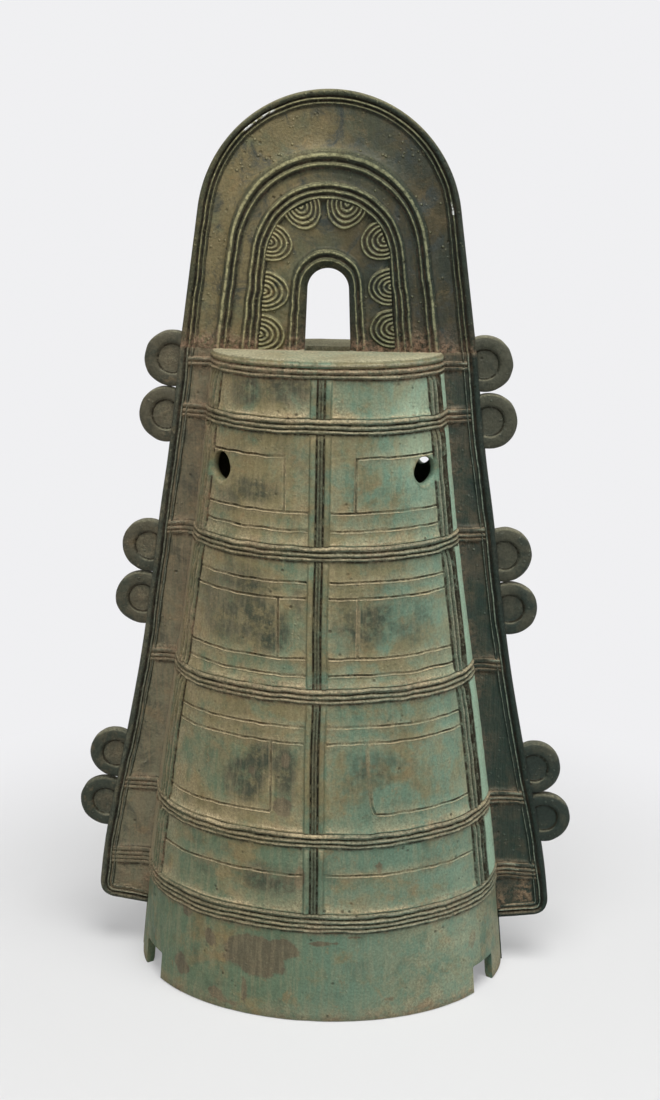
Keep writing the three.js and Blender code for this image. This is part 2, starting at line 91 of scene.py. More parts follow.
def selectFaces(piece, test):
    # leaves the piece in edit mode with only the faces that pass the test selected
    pick(piece)
    bpy.ops.object.mode_set(mode="EDIT")
    bpy.ops.mesh.select_mode(type="FACE")
    bpy.ops.mesh.select_all(action="DESELECT")
    bpy.ops.object.mode_set(mode="OBJECT")
    for face in piece.data.polygons:
        face.select = test(face)
    bpy.ops.object.mode_set(mode="EDIT")


def cutAway(place, normal):
    # removes what lies behind a plane and closes the cut; the place is in millimetres
    bpy.ops.mesh.bisect(plane_co=[part * mm for part in place], plane_no=normal, clear_inner=True,
                        use_fill=True, threshold=0.000001)


def bevelSharp(width):
    bpy.ops.mesh.select_mode(type="EDGE")
    bpy.ops.mesh.select_all(action="DESELECT")
    bpy.ops.mesh.edges_select_sharp(sharpness=math.radians(40))
    bpy.ops.mesh.bevel(offset=width * mm, segments=3, affect="EDGES")


def points(piece):
    flat = np.empty(len(piece.data.vertices) * 3)
    piece.data.vertices.foreach_get("co", flat)
    return flat.reshape(-1, 3) / mm


def normals(piece):
    flat = np.empty(len(piece.data.vertices) * 3)
    piece.data.vertices.foreach_get("normal", flat)
    return flat.reshape(-1, 3)


def placePoints(piece, places):
    piece.data.vertices.foreach_set("co", (np.asarray(places, float) * mm).ravel())
    piece.data.update()


def paint(piece, name, values):
    layer = piece.data.attributes.get(name)
    if layer is None:
        layer = piece.data.attributes.new(name, "FLOAT", "POINT")
    layer.data.foreach_set("value", np.asarray(values, np.float32).ravel())


def addGrid(name, places):
    # a grid laid out flat, then moved to the places, which run along the columns first
    rows, columns = places.shape[:2]
    deselectAll()
    bpy.ops.mesh.primitive_grid_add(x_subdivisions=columns - 1, y_subdivisions=rows - 1, size=1)
    piece = bpy.context.object
    piece.name = name
    piece.data.name = name
    placePoints(piece, places.reshape(-1, 3))
    return piece


def addSheet(name, sides):
    # a closed sheet from its two faces, each a grid of places and grids of painted values
    (front, frontPaint), (back, backPaint) = sides
    piece = addGrid(name, np.concatenate([front, back[:, ::-1], front[:, :1]], axis=1))
    for title in frontPaint:
        paint(piece, title, np.concatenate(
            [frontPaint[title], backPaint[title][:, ::-1], frontPaint[title][:, :1]], axis=1))
    editAll(piece, mergeDoubles, closeHoles, faceOutwards)
    return piece


def applyModifiers(piece):
    pick(piece)
    for modifier in list(piece.modifiers):
        bpy.ops.object.modifier_apply(modifier=modifier.name)


def cut(piece, cutter, operation="DIFFERENCE"):
    modifier = piece.modifiers.new(operation.lower(), "BOOLEAN")
    modifier.operation = operation
    modifier.solver = "MANIFOLD"
    modifier.object = cutter
    applyModifiers(piece)
    bpy.data.objects.remove(cutter)


def joinPieces(first, *others):
    pick(first)
    for other in others:
        other.select_set(True)
    bpy.ops.object.join()
    return first


def softNoise(places, size, seed):
    # smooth noise from -1 to 1 with lumps of about that size
    spot = np.asarray(places, float) / size
    base = np.floor(spot).astype(np.int64)
    part = spot - base
    part = part * part * (3 - 2 * part)
    total = np.zeros(len(spot))
    for corner in range(8):
        step = np.array([corner & 1, corner >> 1 & 1, corner >> 2 & 1])
        cell = (base + step + 4096).astype(np.uint64)
        mixed = cell[:, 0] * np.uint64(73856093) ^ cell[:, 1] * np.uint64(19349663)
        mixed = mixed ^ cell[:, 2] * np.uint64(83492791) ^ np.uint64(seed * 2654435761 & 0xFFFFFFFFFFFF)
        mixed = (mixed ^ mixed >> np.uint64(13)) * np.uint64(1274126177)
        value = (mixed >> np.uint64(7) & np.uint64(65535)).astype(float) / 32767.5 - 1
        total += value * np.prod(np.where(step, part, 1 - part), axis=1)
    return total


def smoothStep(value, low, high):
    share = np.clip((value - low) / (high - low), 0, 1)
    return share * share * (3 - 2 * share)


def facingUp(piece):
    return smoothStep(normals(piece)[:, 2], 0.36, 0.76)


def finishPiece(piece, node, body, material):
    paint(piece, "up", facingUp(piece))
    pick(piece)
    bpy.ops.object.shade_smooth_by_angle(angle=math.radians(50))
    piece.data.materials.clear()
    piece.data.materials.append(material)
    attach(piece, body)
    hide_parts(node)


# Shader groups that the bronze finishes share

def newGroup(name, inputs, outputs):
    tree = bpy.data.node_groups.new(name, "ShaderNodeTree")
    for title, kind, default in inputs:
        socket = tree.interface.new_socket(name=title, in_out="INPUT", socket_type=kind)
        if default is not None:
            socket.default_value = default
    for title, kind in outputs:
        tree.interface.new_socket(name=title, in_out="OUTPUT", socket_type=kind)
    return tree, tree.nodes.new("NodeGroupInput"), tree.nodes.new("NodeGroupOutput")


def feed(tree, socket, source):
    # a socket takes another node's output or a plain value
    if isinstance(source, bpy.types.NodeSocket):
        tree.links.new(source, socket)
    elif source is not None:
        socket.default_value = source


def noiseNode(tree, vector, scale, detail=4.0, roughness=0.6, distortion=0.0):
    node = tree.nodes.new("ShaderNodeTexNoise")
    feed(tree, node.inputs["Vector"], vector)
    feed(tree, node.inputs["Scale"], scale)
    node.inputs["Detail"].default_value = detail
    node.inputs["Roughness"].default_value = roughness
    node.inputs["Distortion"].default_value = distortion
    return node.outputs[0]


def spread(tree, value, low, high, toLow=0.0, toHigh=1.0):
    node = tree.nodes.new("ShaderNodeMapRange")
    node.interpolation_type = "SMOOTHSTEP"
    feed(tree, node.inputs["Value"], value)
    for title, number in (("From Min", low), ("From Max", high), ("To Min", toLow), ("To Max", toHigh)):
        feed(tree, node.inputs[title], number)
    return node.outputs[0]


def reckon(tree, operation, first, second):
    node = tree.nodes.new("ShaderNodeMath")
    node.operation = operation
    feed(tree, node.inputs[0], first)
    feed(tree, node.inputs[1], second)
    return node.outputs[0]


def plus(tree, first, second):
    return reckon(tree, "ADD", first, second)


def minus(tree, first, second):
    return reckon(tree, "SUBTRACT", first, second)


def times(tree, first, second):
    return reckon(tree, "MULTIPLY", first, second)


def larger(tree, first, second):
    return reckon(tree, "MAXIMUM", first, second)


def blendColours(tree, factor, first, second):
    node = tree.nodes.new("ShaderNodeMix")
    node.data_type = "RGBA"
    node.clamp_factor = True
    feed(tree, node.inputs[0], factor)
    feed(tree, node.inputs[6], first)
    feed(tree, node.inputs[7], second)
    return node.outputs[2]


def patinaCloudsGroup():
    # two patina colours in clouds, with rusty spots and darker smudges in them
    tree, given, made = newGroup("patinaClouds", [
        ("Vector", "NodeSocketVector", None),
        ("Cool", "NodeSocketColor", (0.16, 0.21, 0.15, 1)),
        ("Warm", "NodeSocketColor", (0.18, 0.15, 0.08, 1)),
        ("Dark", "NodeSocketColor", (0.05, 0.055, 0.04, 1)),
        ("Rust", "NodeSocketColor", (0.2, 0.12, 0.055, 1)),
        ("Balance", "NodeSocketFloat", 0.0),
        ("Darkness", "NodeSocketFloat", 0.4),
        ("Rustiness", "NodeSocketFloat", 0.4),
        ("Size", "NodeSocketFloat", 18.0),
    ], [("Color", "NodeSocketColor")])
    vector = given.outputs["Vector"]
    size = given.outputs["Size"]
    broad = noiseNode(tree, vector, size, 5.0, 0.56, 0.9)
    fine = noiseNode(tree, vector, times(tree, size, 4.6), 5.0, 0.7)
    mixed = plus(tree, times(tree, broad, 0.66), times(tree, fine, 0.34))
    warm = spread(tree, plus(tree, mixed, given.outputs["Balance"]), 0.42, 0.58)
    colour = blendColours(tree, warm, given.outputs["Cool"], given.outputs["Warm"])
    spots = noiseNode(tree, vector, times(tree, size, 3.4), 6.0, 0.7, 0.3)
    soft = noiseNode(tree, vector, times(tree, size, 1.7), 4.0, 0.6, 0.6)
    spots = larger(tree, spread(tree, spots, 0.56, 0.7), spread(tree, soft, 0.55, 0.72, 0.0, 0.8))
    spots = times(tree, spots, given.outputs["Rustiness"])
    colour = blendColours(tree, spots, colour, given.outputs["Rust"])
    lumps = noiseNode(tree, vector, times(tree, size, 2.1), 6.0, 0.72, 0.7)
    smudge = times(tree, spread(tree, lumps, 0.48, 0.66), given.outputs["Darkness"])
    colour = blendColours(tree, smudge, colour, given.outputs["Dark"])
    feed(tree, made.inputs["Color"], colour)
    return tree


def ridgeWearGroup():
    # pale rubbed bronze on the very tops of the ridges, and dust on what faces up
    tree, given, made = newGroup("ridgeWear", [
        ("Vector", "NodeSocketVector", None),
        ("Color", "NodeSocketColor", (0.2, 0.2, 0.2, 1)),
        ("Crest", "NodeSocketFloat", 0.0),
        ("Up", "NodeSocketFloat", 0.0),
        ("Ledge", "NodeSocketFloat", 0.0),
        ("Wear", "NodeSocketColor", (0.42, 0.33, 0.19, 1)),
        ("Dust", "NodeSocketColor", (0.5, 0.39, 0.25, 1)),
        ("Amount", "NodeSocketFloat", 0.7),
        ("Dustiness", "NodeSocketFloat", 0.8),
    ], [("Color", "NodeSocketColor"), ("Mask", "NodeSocketFloat")])
    vector = given.outputs["Vector"]
    broken = noiseNode(tree, vector, 260.0, 5.0, 0.72)
    crest = spread(tree, given.outputs["Crest"], 0.72, 1.0)
    crest = times(tree, crest, spread(tree, broken, 0.34, 0.56, 0.25, 1.0))
    mask = times(tree, crest, given.outputs["Amount"])
    colour = blendColours(tree, mask, given.outputs["Color"], given.outputs["Wear"])
    patchy = plus(tree, times(tree, noiseNode(tree, vector, 26.0, 4.0, 0.6), 0.5),
                  times(tree, noiseNode(tree, vector, 420.0, 4.0, 0.72), 0.5))
    dust = times(tree, given.outputs["Up"], spread(tree, patchy, 0.36, 0.56, 0.25, 1.0))
    ledge = plus(tree, times(tree, given.outputs["Ledge"], 0.5), times(tree, patchy, 1.1))
    dust = larger(tree, dust, spread(tree, ledge, 0.68, 1.02))
    dust = times(tree, dust, given.outputs["Dustiness"])
    feed(tree, made.inputs["Color"], blendColours(tree, dust, colour, given.outputs["Dust"]))
    feed(tree, made.inputs["Mask"], larger(tree, mask, dust))
    return tree


def settledDirtGroup():
    # near black dirt with reddish specks in the grooves, with painted shade under the bands and round
    # the ears' hollows, and earth in the corners
    tree, given, made = newGroup("settledDirt", [
        ("Vector", "NodeSocketVector", None),
        ("Color", "NodeSocketColor", (0.2, 0.2, 0.2, 1)),
        ("Groove", "NodeSocketFloat", 0.0),
        ("Soil", "NodeSocketFloat", 0.0),
        ("Dark", "NodeSocketColor", (0.02, 0.024, 0.018, 1)),
        ("Speck", "NodeSocketColor", (0.12, 0.065, 0.035, 1)),
        ("Earth", "NodeSocketColor", (0.2, 0.115, 0.06, 1)),
        ("Amount", "NodeSocketFloat", 0.9),
    ], [("Color", "NodeSocketColor"), ("Mask", "NodeSocketFloat")])
    vector = given.outputs["Vector"]
    broken = spread(tree, noiseNode(tree, vector, 210.0, 4.0, 0.7), 0.37, 0.52, 0.2, 1.0)
    groove = spread(tree, given.outputs["Groove"], 0.2, 0.85)
    groove = times(tree, times(tree, groove, broken), given.outputs["Amount"])
    reddish = spread(tree, noiseNode(tree, vector, 110.0, 4.0, 0.7), 0.5, 0.62)
    dirt = blendColours(tree, times(tree, reddish, 0.7), given.outputs["Dark"], given.outputs["Speck"])
    colour = blendColours(tree, groove, given.outputs["Color"], dirt)
    crumbs = spread(tree, noiseNode(tree, vector, 260.0, 5.0, 0.75), 0.36, 0.6, 0.0, 1.0)
    soil = times(tree, given.outputs["Soil"], crumbs)
    colour = blendColours(tree, soil, colour, given.outputs["Earth"])
    feed(tree, made.inputs["Color"], colour)
    feed(tree, made.inputs["Mask"], larger(tree, groove, soil))
    return tree


def castSkinGroup():
    # the uneven skin of a casting: soft lumps, grain, small pits, and crumbs where dirt has set
    tree, given, made = newGroup("castSkin", [
        ("Vector", "NodeSocketVector", None),
        ("Crust", "NodeSocketFloat", 0.0),
        ("Lumps", "NodeSocketFloat", 0.5),
        ("Grain", "NodeSocketFloat", 0.35),
        ("Pits", "NodeSocketFloat", 0.4),
        ("Warts", "NodeSocketFloat", 0.3),
    ], [("Height", "NodeSocketFloat"), ("Pit", "NodeSocketFloat"), ("Wart", "NodeSocketFloat")])
    vector = given.outputs["Vector"]
    lumps = noiseNode(tree, vector, 130.0, 4.0, 0.6)
    grain = noiseNode(tree, vector, 560.0, 3.0, 0.65)
    cells = tree.nodes.new("ShaderNodeTexVoronoi")
    feed(tree, cells.inputs["Vector"], vector)
    cells.inputs["Scale"].default_value = 150.0
    pit = spread(tree, cells.outputs["Distance"], 0.06, 0.22, 1.0, 0.0)
    rare = spread(tree, noiseNode(tree, vector, 38.0, 2.0, 0.5), 0.53, 0.64)
    pit = times(tree, pit, rare)
    beads = tree.nodes.new("ShaderNodeTexVoronoi")
    feed(tree, beads.inputs["Vector"], vector)
    beads.inputs["Scale"].default_value = 260.0
    wart = spread(tree, beads.outputs["Distance"], 0.04, 0.3, 1.0, 0.0)
    wart = times(tree, wart, spread(tree, noiseNode(tree, vector, 60.0, 3.0, 0.6), 0.48, 0.58))
    crumbs = times(tree, noiseNode(tree, vector, 620.0, 4.0, 0.7), given.outputs["Crust"])
    crumbs = plus(tree, crumbs, times(tree, wart, given.outputs["Warts"]))
    height = plus(tree, times(tree, lumps, given.outputs["Lumps"]),
                  times(tree, grain, given.outputs["Grain"]))
    height = minus(tree, height, times(tree, pit, given.outputs["Pits"]))
    feed(tree, made.inputs["Height"], plus(tree, height, crumbs))
    feed(tree, made.inputs["Pit"], pit)
    feed(tree, made.inputs["Wart"], times(tree, wart, given.outputs["Warts"]))
    return tree


patinaClouds = patinaCloudsGroup()
ridgeWear = ridgeWearGroup()
settledDirt = settledDirtGroup()
castSkin = castSkinGroup()
print("shader groups made")


def placeGroup(tree, group, values):
    node = tree.nodes.new("ShaderNodeGroup")
    node.node_tree = group
    for title, value in values.items():
        feed(tree, node.inputs[title], value)
    return node


def readAttribute(tree, name):
    node = tree.nodes.new("ShaderNodeAttribute")
    node.attribute_name = name
    return node.outputs["Fac"]


bareMetal = (0.75, 0.76, 0.74, 1)  # where the patina has chipped off


def bronzeMaterial(name, look):
    material = bpy.data.materials.new(name)
    material.use_nodes = True
    tree = material.node_tree
    shader = tree.nodes["Principled BSDF"]
    vector = tree.nodes.new("ShaderNodeTexCoord").outputs["Object"]
    across = tree.nodes.new("ShaderNodeSeparateXYZ")
    feed(tree, across.inputs[0], vector)
    # from the browner left side to the greener right side
    wander = times(tree, minus(tree, noiseNode(tree, vector, 9.0, 3.0), 0.5), 0.12)
    side = plus(tree, across.outputs["X"], wander)
    side = spread(tree, side, *look["sideRange"])

    def sided(title):
        return blendColours(tree, side, look[title + "Left"], look[title + "Right"])

    lower = spread(tree, across.outputs["Z"], 0.03, look["lowTop"], look["lowShift"], 0.0)
    balance = plus(tree, spread(tree, side, 0.0, 1.0, *look["balance"]), lower)
    clouds = placeGroup(tree, patinaClouds, {
        "Vector": vector, "Cool": sided("cool"), "Warm": sided("warm"), "Dark": look["dark"],
        "Rust": sided("rust"), "Balance": balance,
        "Darkness": look["darkness"], "Rustiness": look["rustiness"], "Size": look["cloudSize"],
    })
    colour = clouds.outputs["Color"]
    # dark smudges where hands have rubbed and painted shade under the bands, brown stains with hard
    # edges, and tan along the borders
    ragged = noiseNode(tree, vector, 48.0, 6.0, 0.7, 0.4)
    mottle = spread(tree, noiseNode(tree, vector, 150.0, 5.0, 0.72), 0.36, 0.58, 0.3, 1.0)
    for title, strength, low, high in (
            ("smudge", "smudgesAndShade", 0.44, 0.7), ("stain", "stains", 0.54, 0.6)):
        mask = plus(tree, times(tree, ragged, 0.55), times(tree, readAttribute(tree, title), 0.6))
        mask = times(tree, spread(tree, mask, low, high), look[strength])
        if title == "smudge":
            mask = times(tree, mask, mottle)
        colour = blendColours(tree, mask, colour, look["dark" if title == "smudge" else "stain"])
    border = spread(tree, noiseNode(tree, vector, 75.0, 5.0, 0.7), 0.36, 0.58, 0.1, 1.0)
    border = times(tree, border, readAttribute(tree, "border"))
    colour = blendColours(tree, times(tree, border, look["borders"]), colour, look["tan"])
    paleMask = times(tree, readAttribute(tree, "pale"), look["paleness"])
    colour = blendColours(tree, paleMask, colour, sided("pale"))
    # fine streaks, as left by the wax tool
    streaks = tree.nodes.new("ShaderNodeMapping")
    streaks.inputs["Scale"].default_value = look["streakScale"]
    feed(tree, streaks.inputs["Vector"], vector)
    streak = noiseNode(tree, streaks.outputs[0], 1.0, 4.0, 0.65)
    streakMask = times(tree, spread(tree, streak, 0.42, 0.66),
                       spread(tree, side, 0.0, 1.0, *look["streaks"]))
    colour = blendColours(tree, streakMask, colour, look["tan"])
    # the ridges are a darker bronze than the panels
    relief = spread(tree, noiseNode(tree, vector, 95.0, 4.0, 0.65), 0.3, 0.62, 0.45, 1.0)
    relief = times(tree, relief, readAttribute(tree, "relief"))
    colour = blendColours(tree, times(tree, relief, look["reliefAmount"]), colour, sided("relief"))
    ridgeDust = times(tree, readAttribute(tree, "up"), spread(
        tree, readAttribute(tree, "relief"), 0.0, 1.0, 1.0, look["ridgeDust"]))
    worn = placeGroup(tree, ridgeWear, {
        "Vector": vector, "Color": colour, "Crest": readAttribute(tree, "crest"),
        "Up": ridgeDust, "Ledge": readAttribute(tree, "ledge"), "Wear": sided("wear"),
        "Dust": look["dust"], "Amount": look["wear"], "Dustiness": look["dustiness"],
    })
    dirty = placeGroup(tree, settledDirt, {
        "Vector": vector, "Color": worn.outputs["Color"], "Groove": readAttribute(tree, "groove"),
        "Soil": readAttribute(tree, "soil"), "Dark": look["groove"], "Speck": sided("speck"),
        "Earth": look["earth"], "Amount": look["dirt"],
    })
    rough = larger(tree, worn.outputs["Mask"], dirty.outputs["Mask"])
    rough = larger(tree, rough, times(tree, readAttribute(tree, "relief"), 0.8))
    crust = times(tree, rough, look["crust"])
    skin = placeGroup(tree, castSkin, {
        "Vector": vector, "Crust": crust, "Lumps": look["lumps"], "Grain": look["grain"],
        "Pits": look["pits"], "Warts": look["warts"],
    })
    inPits = times(tree, skin.outputs["Pit"], 0.6)
    colour = blendColours(tree, inPits, dirty.outputs["Color"], look["groove"])
    onWarts = times(tree, skin.outputs["Wart"], look["wartTone"])
    colour = blendColours(tree, onWarts, colour, sided("wear"))
    grit = larger(tree, rough, times(tree, border, 0.7))
    speckle = spread(tree, noiseNode(tree, vector, 640.0, 4.0, 0.75), 0.32, 0.68,
                     spread(tree, grit, 0.1, 0.8, *look["speckleLow"]),
                     spread(tree, grit, 0.1, 0.8, *look["speckleHigh"]))
    tone = tree.nodes.new("ShaderNodeHueSaturation")
    feed(tree, tone.inputs["Value"], speckle)
    feed(tree, tone.inputs["Color"], colour)
    chips = times(tree, readAttribute(tree, "chip"),
                  spread(tree, noiseNode(tree, vector, 300.0, 3.0, 0.6), 0.47, 0.54))
    colour = blendColours(tree, chips, tone.outputs["Color"], bareMetal)
    feed(tree, shader.inputs["Base Color"], colour)
    sheen = spread(tree, noiseNode(tree, vector, 80.0, 4.0, 0.65), 0.3, 0.7, *look["roughness"])
    feed(tree, shader.inputs["Roughness"], plus(tree, sheen, times(tree, crust, 0.2)))
    shader.inputs["Metallic"].default_value = look["metallic"]
    shader.inputs["Specular IOR Level"].default_value = look["gloss"]
    height = plus(tree, skin.outputs["Height"], times(tree, streak, look["streakBump"]))
    bump = tree.nodes.new("ShaderNodeBump")
    bump.inputs["Strength"].default_value = look["bump"]
    bump.inputs["Distance"].default_value = 0.001
    feed(tree, bump.inputs["Height"], height)
    feed(tree, shader.inputs["Normal"], bump.outputs["Normal"])
    return material


wallLook = {
    "sideRange": (-0.07, 0.06), "coolLeft": (0.104, 0.148, 0.088, 1),
    "coolRight": (0.114, 0.186, 0.13, 1), "warmLeft": (0.188, 0.158, 0.076, 1),
    "warmRight": (0.16, 0.15, 0.079, 1), "dark": (0.03, 0.04, 0.027, 1),
    "rustLeft": (0.22, 0.14, 0.062, 1), "rustRight": (0.2, 0.13, 0.06, 1),
    "tan": (0.33, 0.268, 0.155, 1), "wearLeft": (0.38, 0.3, 0.18, 1),
    "wearRight": (0.36, 0.34, 0.24, 1), "dust": (0.5, 0.405, 0.245, 1),
    "reliefLeft": (0.1, 0.102, 0.062, 1), "reliefRight": (0.1, 0.118, 0.082, 1), "reliefAmount": 0.85,
    "groove": (0.02, 0.017, 0.009, 1), "speckLeft": (0.13, 0.075, 0.035, 1),
    "speckRight": (0.06, 0.06, 0.036, 1), "earth": (0.29, 0.2, 0.122, 1),
    "paleLeft": (0.24, 0.205, 0.125, 1), "paleRight": (0.37, 0.55, 0.41, 1), "paleness": 0.9,
    "balance": (0.03, -0.01), "darkness": 0.3, "rustiness": 0.55, "cloudSize": 26.0, "smudgesAndShade": 0.95,
    "stains": 0.85, "stain": (0.1, 0.08, 0.05, 1), "borders": 0.62, "lowShift": -0.1, "lowTop": 0.2,
    "streakScale": (280.0, 280.0, 24.0), "streaks": (0.24, 0.16), "streakBump": 0.15, "ridgeDust": 0.45,
    "wear": 0.6, "dustiness": 0.85, "dirt": 0.97, "crust": 1.7, "speckleLow": (0.81, 0.62),
    "speckleHigh": (1.17, 1.36), "lumps": 0.55, "grain": 0.4, "pits": 0.7, "warts": 0.35,
    "wartTone": 0.25, "bump": 0.85, "roughness": (0.5, 0.74), "gloss": 0.22, "metallic": 0.1,
}
handleLook = dict(
    wallLook, sideRange=(-0.05, 0.055), coolLeft=(0.1, 0.102, 0.053, 1),
    coolRight=(0.018, 0.023, 0.014, 1), warmLeft=(0.14, 0.114, 0.052, 1),
    warmRight=(0.034, 0.029, 0.012, 1), dark=(0.022, 0.03, 0.026, 1), rustLeft=(0.19, 0.13, 0.052, 1),
    rustRight=(0.1, 0.075, 0.035, 1), tan=(0.2, 0.16, 0.085, 1), wearLeft=(0.4, 0.37, 0.19, 1),
    wearRight=(0.27, 0.28, 0.155, 1), dust=(0.34, 0.31, 0.165, 1), reliefLeft=(0.042, 0.047, 0.026, 1),
    reliefRight=(0.02, 0.03, 0.021, 1), reliefAmount=0.85, ridgeDust=1.0,
    speckLeft=(0.07, 0.05, 0.03, 1), speckRight=(0.07, 0.05, 0.03, 1), earth=(0.27, 0.175, 0.11, 1),
    darkness=0.9, cloudSize=24.0, smudgesAndShade=0.0, stains=0.0, wear=0.85, streaks=(0.12, 0.06),
    streakBump=0.2, dirt=0.97, dustiness=0.5, lumps=0.8, grain=0.5, pits=1.0, warts=1.2, wartTone=0.3,
    bump=0.95, gloss=0.3, roughness=(0.42, 0.66),
)
finLook = dict(
    wallLook, sideRange=(-0.03, 0.03), coolLeft=(0.152, 0.142, 0.086, 1),
    coolRight=(0.011, 0.026, 0.018, 1), warmLeft=(0.118, 0.104, 0.062, 1),
    warmRight=(0.055, 0.051, 0.032, 1), lowShift=-0.28, lowTop=0.34, balance=(0.09, 0.0),
    speckLeft=(0.055, 0.042, 0.027, 1), speckRight=(0.03, 0.036, 0.025, 1),
    earth=(0.25, 0.175, 0.105, 1), dark=(0.022, 0.028, 0.021, 1), tan=(0.22, 0.165, 0.095, 1),
    rustLeft=(0.24, 0.16, 0.08, 1), rustRight=(0.06, 0.048, 0.028, 1), wearLeft=(0.25, 0.26, 0.18, 1),
    wearRight=(0.27, 0.33, 0.245, 1), dust=(0.34, 0.27, 0.17, 1), reliefLeft=(0.047, 0.055, 0.039, 1),
    reliefRight=(0.014, 0.024, 0.018, 1), reliefAmount=0.95, ridgeDust=1.0, darkness=0.6,
    cloudSize=24.0, smudgesAndShade=0.0, borders=0.3, streaks=(0.4, 0.06), streakBump=0.8, wear=0.95, dirt=0.92,
    dustiness=0.7, bump=0.95, gloss=0.3, roughness=(0.42, 0.66), warts=0.6, stains=0.0,
    streakScale=(420.0, 420.0, 26.0),
)
earLook = dict(
    finLook, lowTop=0.42, lowShift=-0.25, balance=(0.12, 0.12), coolLeft=(0.033, 0.039, 0.027, 1),
    coolRight=(0.021, 0.031, 0.024, 1), warmLeft=(0.07, 0.063, 0.04, 1),
    warmRight=(0.055, 0.056, 0.038, 1), dust=(0.21, 0.2, 0.135, 1), gloss=0.2,
    rustRight=(0.036, 0.038, 0.028, 1), tan=(0.14, 0.13, 0.082, 1), borders=0.6, streaks=(0.05, 0.0),
    streakBump=0.1, cloudSize=34.0, wear=0.3, dirt=0.95, dustiness=0.75, rustiness=0.25, lumps=0.9,
)
plateLook = dict(
    wallLook, dust=(0.33, 0.31, 0.2, 1), dustiness=0.9, borders=0.3, earth=(0.3, 0.2, 0.125, 1),
    warts=0.6,
)
clapperLook = dict(
    wallLook, coolLeft=(0.07, 0.075, 0.05, 1), coolRight=(0.07, 0.075, 0.05, 1),
    warmLeft=(0.15, 0.09, 0.04, 1), warmRight=(0.15, 0.09, 0.04, 1), wearLeft=(0.36, 0.24, 0.1, 1),
    wearRight=(0.36, 0.24, 0.1, 1), smudgesAndShade=0.0, borders=0.0, metallic=0.6, roughness=(0.35, 0.55),
    wear=0.8, dustiness=0.2,
)
wallBronze = bronzeMaterial("wallBronze", wallLook)
plateBronze = bronzeMaterial("plateBronze", plateLook)
handleBronze = bronzeMaterial("handleBronze", handleLook)
finBronze = bronzeMaterial("finBronze", finLook)
earBronze = bronzeMaterial("earBronze", earLook)
clapperBronze = bronzeMaterial("clapperBronze", clapperLook)
print("finishes made")


# The oval body

body = {
    "height": 438.0, "mouthHalfWidth": 130.5, "mouthHalfDepth": 94.6,
    "topHalfWidth": 74.0, "topHalfDepth": 53.7, "flareBend": 0.033,
    "wall": 6.0, "wallTop": 432.45, "seam": 3.45,
    "ridgeHeight": 2.0, "valley": 0.12, "postHeight": 1.9, "stripHeight": 1.3,
    "lineDepth": 0.8, "lipHeight": 0.42, "sidePostAngle": 23.0,
    "strikeHeight": 44.0, "strikeRidge": 3.0, "strikeHalfWidth": 6.0,
    "waviness": 0.7, "roughness": 0.2,
}
# each band's middle height and the widths of its ridges, from the lowest up
bandTable = [
    (71.0, (3.0, 3.2, 3.2, 4.2)), (127.5, (2.8, 3.2, 4.4)), (224.5, (2.8, 3.2, 4.4)),
    (316.5, (2.8, 3.2, 4.4)), (396.5, (2.8, 3.2, 4.2)), (429.0, (3.0, 3.6)),
]
# scored lines: height, and whether it crosses the whole panel or only its outer part
lineTable = [
    (103.5, "full"), (144.5, "outer"), (193.0, "full"), (203.7, "full"), (237.5, "full"),
    (248.5, "full"), (287.5, "full"), (298.0, "full"), (331.0, "full"), (342.5, "full"),
    (377.0, "outer"),
]
# upright scored lines: heights, and the distance from the middle on the right and on the left
uprightHeights = [0, 141, 146, 152, 193, 204, 249, 288, 330, 342, 377, 438]
uprightRight = [42, 42, 39, 37, 33, 31, 26, 26, 23, 23, 23, 23]
uprightLeft = [29.5, 29.5, 29.5, 29.5, 29.5, 29, 26, 26, 23, 23, 23, 23]
uprightSpans = [(144.5, 193.0), (248.5, 287.5), (342.5, 377.0)]

ridgeForm = (
    (0.0, 0.0), (0.1, 0.25), (0.22, 0.66), (0.38, 0.92), (0.54, 1.0), (0.68, 0.97), (0.8, 0.66),
    (0.9, 0.15),
)
lineForm = (
    (-2.0, 0.0), (-1.2, 1.0), (-0.55, -1.0), (0.3, -1.0), (0.85, 0.3), (1.7, 0.0),
)
# across the middle post: distance from its middle, and how far it stands out
middlePost = [
    (-6.8, 0.0), (-6.4, 0.45), (-5.9, 0.95), (-5.1, 1.0), (-4.3, 0.8), (-3.5, 0.85), (-3.0, 0.6),
    (-2.65, 0.05), (-1.9, 0.0), (-1.6, 0.55), (-1.2, 0.95), (-0.7, 0.9), (0.0, 0.35), (0.7, 0.9),
    (1.2, 0.95), (1.6, 0.55), (1.9, 0.0), (2.7, 0.05), (3.1, 0.6), (3.6, 0.85), (4.4, 0.8), (5.1, 1.0),
    (5.8, 0.95), (6.3, 0.45), (6.8, 0.0),
]
# across a side post, from the smooth strip at the bell's side to the panel
sidePost = [
    (-8.6, 0.7), (-8.0, 0.6), (-7.4, 0.1), (-6.9, 0.0), (-6.4, 0.35), (-5.7, 0.9), (-4.7, 1.0),
    (-3.7, 0.85), (-3.1, 0.35), (-2.6, 0.0), (-2.1, 0.35), (-1.4, 0.9), (-0.3, 1.0), (0.7, 0.9),
    (1.3, 0.35), (1.8, 0.0), (2.3, 0.4), (3.0, 0.9), (4.2, 1.0), (5.3, 0.9), (5.9, 0.4), (6.5, 0.0),
]


